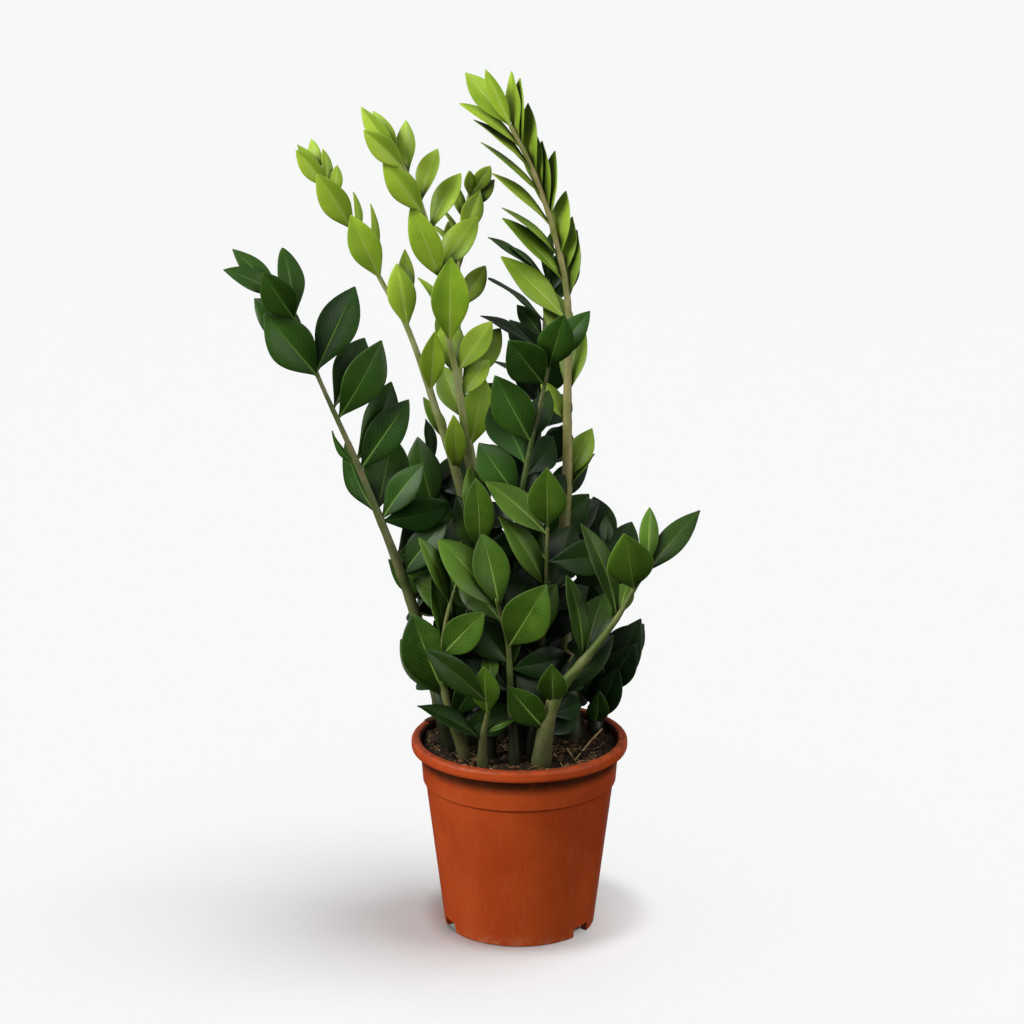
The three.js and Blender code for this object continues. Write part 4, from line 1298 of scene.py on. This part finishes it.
def ball(levels):
    """Points and faces of a ball of radius 1."""
    bm = bmesh.new()
    bmesh.ops.create_icosphere(bm, subdivisions=levels, radius=1)
    points = [v.co.copy() for v in bm.verts]
    faces = [tuple(v.index for v in f.verts) for f in bm.faces]
    bm.free()
    return points, faces


PEBBLE_POINTS, PEBBLE_FACES = ball(2)
PEBBLE_TILT = 0.5  # radians either way
PEBBLE_SHAPE = [(0.7, 1.3), (0.6, 1.1), (0.5, 0.9)]  # what its length, width and height draw, by its size
PEBBLE_BUMPS = dict(fine=1.7, height=0.45)
NOISE_FIELD = 90  # how far apart draws of bumps lie
CRUMB_FIELD = (NECK_RADIUS - WALL - 1.5) * 0.97  # radius of the round that crumbs lie on


def pebble(centre, size, rng):
    """Points of an irregular crumb, flattened a little."""
    spin = Matrix.Rotation(rng.uniform(0, FULL_TURN), 3, "Z")
    spin = spin @ Matrix.Rotation(rng.uniform(-PEBBLE_TILT, PEBBLE_TILT), 3, "X")
    shape = Vector([rng.uniform(*ends) for ends in PEBBLE_SHAPE])
    shift = Vector([rng.uniform(0, NOISE_FIELD) for _ in range(3)])
    points = []
    for p in PEBBLE_POINTS:
        bumpy = 1 + PEBBLE_BUMPS["height"] * noise.noise(p * PEBBLE_BUMPS["fine"] + shift)
        points.append(Vector(centre) + spin @ (p * shape * bumpy * size / 2))
    return points


def scattered(name, count, sizes, skin, seed, sink=0.2):
    """Crumbs over the soil, smaller ones more often, sunk by a share of their size."""
    rng = random.Random(seed)
    parts, lucks = [], []
    for _ in range(count):
        r = CRUMB_FIELD * math.sqrt(rng.random())
        a = rng.uniform(0, 2 * math.pi)
        size = sizes[0] + (sizes[1] - sizes[0]) * rng.random() ** 3
        r = min(r, inner_radius(SOIL_LEVEL) - size)
        x, y = r * math.cos(a), r * math.sin(a)
        parts.append((pebble((x, y, soil_top(x, y) - sink * size), size, rng), PEBBLE_FACES))
        lucks.append(rng.random())
    soil_piece(name, parts, lucks, skin)


# Each strand on the soil is [thickness, x, y, x, y, ...], as seen from above.
TWIGS = [
    [2.0, 66, 26, 55, -2, 43, -38],
    [1.7, 37, -12, 40, -24, 43, -39],
    [1.4, 27, -20, 29, -34, 33, -48],
]
FIBRES = [
    [0.9, -8, 20, -12, 2, -11, -16, -4, -26],
    [0.8, -2, 24, 4, 6, 8, -12, 12, -22],
    [0.7, -16, 4, -9, -10, 2, -14],
    [0.7, 6, 0, 0, -14, -8, -22],
    [0.6, -30, -44, -20, -50, -12, -46],
    [0.6, 48, -52, 56, -44, 60, -32],
    [0.7, -52, -30, -44, -38, -34, -40],
    [0.6, 20, -60, 30, -58, 38, -52],
]
STRAND_SIDES = 8
STRAND_STEPS = 24
STRAND_UP = (0.3, 0.2, 1)  # that no strand runs along
STRAND_TAPER = 0.5
STRAND_END = 0.35  # of its radius there, at both ends
STRAND_RISE = 0.8  # the most that each of its points draws
STRAY_FIBRES = 110
STRAY_FIELD = 68  # radius of the round that they lie on
STRAY_EDGE = 71  # that none of their points passes
STRAY_REACH = (2.5, 8)  # half their length
STRAY_BOW = (-2.5, 2.5)
STRAY_THICK = (0.25, 0.55)
# Each chip is [x, y, how high over the soil, length, width, thickness, turn].
CHIPS = [
    [-43, -59, 1, 5.5, 4.5, 3.6, 20],
    [-22, -66, 0.4, 3.4, 2, 1.2, 70],
    [-18.5, -66.5, 0.4, 3, 1.8, 1.2, -30],
]
FLAKES = [[-72, 36, 7, 13, 7, 1.2, 60], [-66, 41, 5, 7, 5, 1.2, 10]]
CHIP_BUMPS = dict(fine=1.9, height=0.3)
CHIP_CURL = 0.12  # rise of its ends, by its length


def strand(route, thick):
    """Points and faces of a thin round strand along a smooth route."""
    line = Stalk(dict(route=route))
    points = []
    for k in range(STRAND_STEPS + 1):
        share = k / STRAND_STEPS
        centre, along = line.at(share), line.along(share)
        end = STRAND_END if k in (0, STRAND_STEPS) else 1
        radius = thick / 2 * (1 - STRAND_TAPER * share) * end
        points += ring(centre, along, unit(np.cross(along, STRAND_UP)), radius, STRAND_SIDES)
    return points, tube(STRAND_STEPS + 1, STRAND_SIDES)


def strands(name, rows, skin, seed, lift):
    """Strands that lie on the soil, raised by a share of their thickness."""
    rng = random.Random(seed)
    parts = []
    for thick, *flat in rows:
        route = []
        for x, y in zip(flat[::2], flat[1::2]):
            route.append([x, y, soil_top(x, y) + thick * lift + rng.uniform(0, STRAND_RISE)])
        parts.append(strand(route, thick))
    soil_piece(name, parts, [STRAND_LUCK] * len(parts), skin)


def stray_fibres():
    """Rows of thin short fibres all over the soil."""
    rng = random.Random(SOIL_SEED + 7)
    rows = []
    for _ in range(STRAY_FIBRES):
        r = STRAY_FIELD * math.sqrt(rng.random())
        a, turn = rng.uniform(0, 2 * math.pi), rng.uniform(0, 2 * math.pi)
        reach, bow = rng.uniform(*STRAY_REACH), rng.uniform(*STRAY_BOW)
        row = [rng.uniform(*STRAY_THICK)]
        for step, shift in ((-reach, 0), (0, bow), (reach, 0)):
            x = r * math.cos(a) + step * math.cos(turn) - shift * math.sin(turn)
            y = r * math.sin(a) + step * math.sin(turn) + shift * math.cos(turn)
            inside = min(1, STRAY_EDGE / math.hypot(x, y))
            row += [x * inside, y * inside]
        rows.append(row)
    return rows


def chips(name, rows, skin, seed):
    """Flat bumpy pieces that curl along their length."""
    rng = random.Random(seed)
    parts, lucks = [], []
    for x, y, lift, length, width, thick, turn in rows:
        spin = Matrix.Rotation(math.radians(turn), 3, "Z")
        centre = Vector((x, y, soil_top(x, y) + lift))
        points = []
        for p in PEBBLE_POINTS:
            bumpy = 1 + CHIP_BUMPS["height"] * noise.noise(p * CHIP_BUMPS["fine"] + Vector((x, y, 0)))
            flat = Vector((p.x * length / 2, p.y * width / 2, p.z * thick / 2)) * bumpy
            flat.z += CHIP_CURL * length * p.x * p.x
            points.append(spin @ flat + centre)
        parts.append((points, PEBBLE_FACES))
        lucks.append(rng.random())
    soil_piece(name, parts, lucks, skin)


def soil():
    """The soil, which stands for its node, and what lies on it."""
    earth = earth_material("earth", EARTH, EARTH_PALE)
    body = soil_piece("soil_bed", [soil_body()], [BED_LUCK], earth)
    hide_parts("soil")
    crumb = earth_material("crumb", colour(30, 22, 14), colour(100, 74, 46))
    bark = earth_material("bark", colour(58, 36, 22), colour(128, 86, 54), 1200)
    pale = earth_material("grit", colour(150, 122, 92), colour(222, 206, 178), 1600)
    twig = earth_material("twig", colour(150, 116, 72), colour(214, 186, 140), 1600)
    scattered("soil_crumbs", 1500, (1.2, 6.5), crumb, SOIL_SEED)
    scattered("soil_bark", 260, (1.2, 5.5), bark, SOIL_SEED + 1, 0.1)
    scattered("soil_grit", 46, (0.8, 2.6), pale, SOIL_SEED + 2, 0)
    strands("soil_twigs", TWIGS, twig, SOIL_SEED + 3, 0.5)
    strands("soil_fibres", FIBRES + stray_fibres(), twig, SOIL_SEED + 4, 0.4)
    chips("soil_chips", CHIPS, pale, SOIL_SEED + 5)
    chips("soil_flake", FLAKES, bark, SOIL_SEED + 6)


# ---- Floor, light and camera ----

FLOOR_SIZE = 60  # m
FLOOR_WHITE = (0.86, 0.866, 0.864, 1)
WHITE = 0.93  # what the camera sees round the plant

# Each sun is (strength, width in degrees, a place that it shines from).
PLANT_SUNS = dict(
    key=(2.45, 34, (-1.05, -0.7, 0.8)),
    reply=(1.3, 45, (1.1, -0.65, 0.35)),
    low=(0.6, 40, (-1.0, -0.45, 0.12)),
    dome=(0.5, 130, (-0.1, -0.15, 1.0)),
    behind=(0.25, 90, (0.15, 1.0, 0.3)),
)
SHADE_LEFT = (1.75, 32, (0.34, 0.02, 1.2))  # throws the plant's soft shadow to the left
SHADELESS = (0.15, 1, (0.0, 0.0, 1.0))  # throws none
SHADE_FOOT = (0.85, 10, (-0.12, -0.12, 1.2))  # throws the pot's short shadow alone

# The light from all round, by where it comes from.
WORLD_LEFT = 0.12
WORLD_RIGHT = 0.03
WORLD_FRONT = 0.5  # of that, from in front
WORLD_BELOW = 0.2  # and from below
WORLD_TOP = 0.3  # as well, from above

CAMERA_PLACE = (-5.85, -2168.8, 929.4)
CAMERA_PITCH = 0.267  # radians below level
CAMERA_END = 100  # m
LENS = 102.55
SENSOR = 36


def floor():
    """A plain floor that only the camera sees, so that it throws no light back on the plant."""
    half = FLOOR_SIZE / 2
    corners = [(-half, -half, 0), (half, -half, 0), (half, half, 0), (-half, half, 0)]
    mesh = bpy.data.meshes.new("floor")
    mesh.from_pydata(corners, [], [(0, 1, 2, 3)])
    piece = linked("floor", mesh)
    shader = material("floor", Base_Color=FLOOR_WHITE, Roughness=0.9, Specular_IOR_Level=0.1)
    mesh.materials.append(shader.owner)
    piece.visible_diffuse = False
    piece.visible_glossy = False
    return piece


def world():
    """Faint light from all round, more from the left and above; the camera itself sees plain white."""
    shader = Shader(bpy.data.worlds.new("studio"), "Background", {"Color": (1, 1, 1, 1)})
    bpy.context.scene.world = shader.owner
    x, y, z = shader.split(shader.node("TexCoord", {}, "Generated"))
    level = y.ramp(-0.9, 0.3, WORLD_FRONT, 1.0) * x.ramp(-0.9, 0.7, WORLD_LEFT, WORLD_RIGHT)
    level = level * z.ramp(-0.5, 0.15, WORLD_BELOW, 1.0) + z.ramp(0.25, 0.9, 0.0, WORLD_TOP)
    seen = shader.node("LightPath", {}, "Is Camera Ray")
    unseen = shader.math("SUBTRACT", 1.0, seen)
    shader.set(shader.surface, {"Strength": level * unseen + seen * WHITE})


def sun(name, look, receivers, blockers=None, shadows=True):
    """Light that falls on the receivers, and is kept off by the blockers, or else by everything."""
    data = bpy.data.lights.new(name, "SUN")
    strength, width, place = look
    data.energy = strength
    data.angle = math.radians(width)
    data.use_shadow = shadows
    lamp = linked(name, data)
    lamp.rotation_euler = Vector(place).to_track_quat("Z", "Y").to_euler()
    lamp.light_linking.receiver_collection = receivers
    if blockers:
        lamp.light_linking.blocker_collection = blockers


def group_of(name, piece, state):
    """Only the piece, or everything but it."""
    group = bpy.data.collections.new(name)
    group.objects.link(piece)
    group.collection_objects[0].light_linking.link_state = state
    return group


def lights(ground, shell):
    """Suns for the plant alone and suns for the floor alone."""
    on_floor = group_of("on_floor", ground, "INCLUDE")
    on_plant = group_of("on_plant", ground, "EXCLUDE")
    for name, look in PLANT_SUNS.items():
        sun(name, look, on_plant)
    sun("shade_left", SHADE_LEFT, on_floor)
    sun("shadeless", SHADELESS, on_floor, shadows=False)
    sun("shade_foot", SHADE_FOOT, on_floor, group_of("by_pot", shell, "INCLUDE"))


def camera():
    data = bpy.data.cameras.new("camera")
    data.lens = LENS
    data.sensor_width = SENSOR
    data.clip_end = CAMERA_END
    piece = linked("camera", data)
    piece.location = [c * MM for c in CAMERA_PLACE]
    piece.rotation_euler = (math.pi / 2 - CAMERA_PITCH, 0, 0)
    bpy.context.scene.camera = piece


LEAF_SKINS = {tone: leaf_material(tone) for tone in LEAF_LOOKS}
STALK_SKINS = {tone: stalk_material(tone) for tone in STALK_LOOKS}
fronds = [Frond(i, row) for i, row in enumerate(FRONDS)]
fill_bush(fronds)
shelter_leaves(fronds)
for frond in fronds:
    frond_pieces(frond)
shell = pot()
soil()
ground = floor()
world()
lights(ground, shell)
camera()
bpy.context.scene.view_settings.view_transform = "Standard"
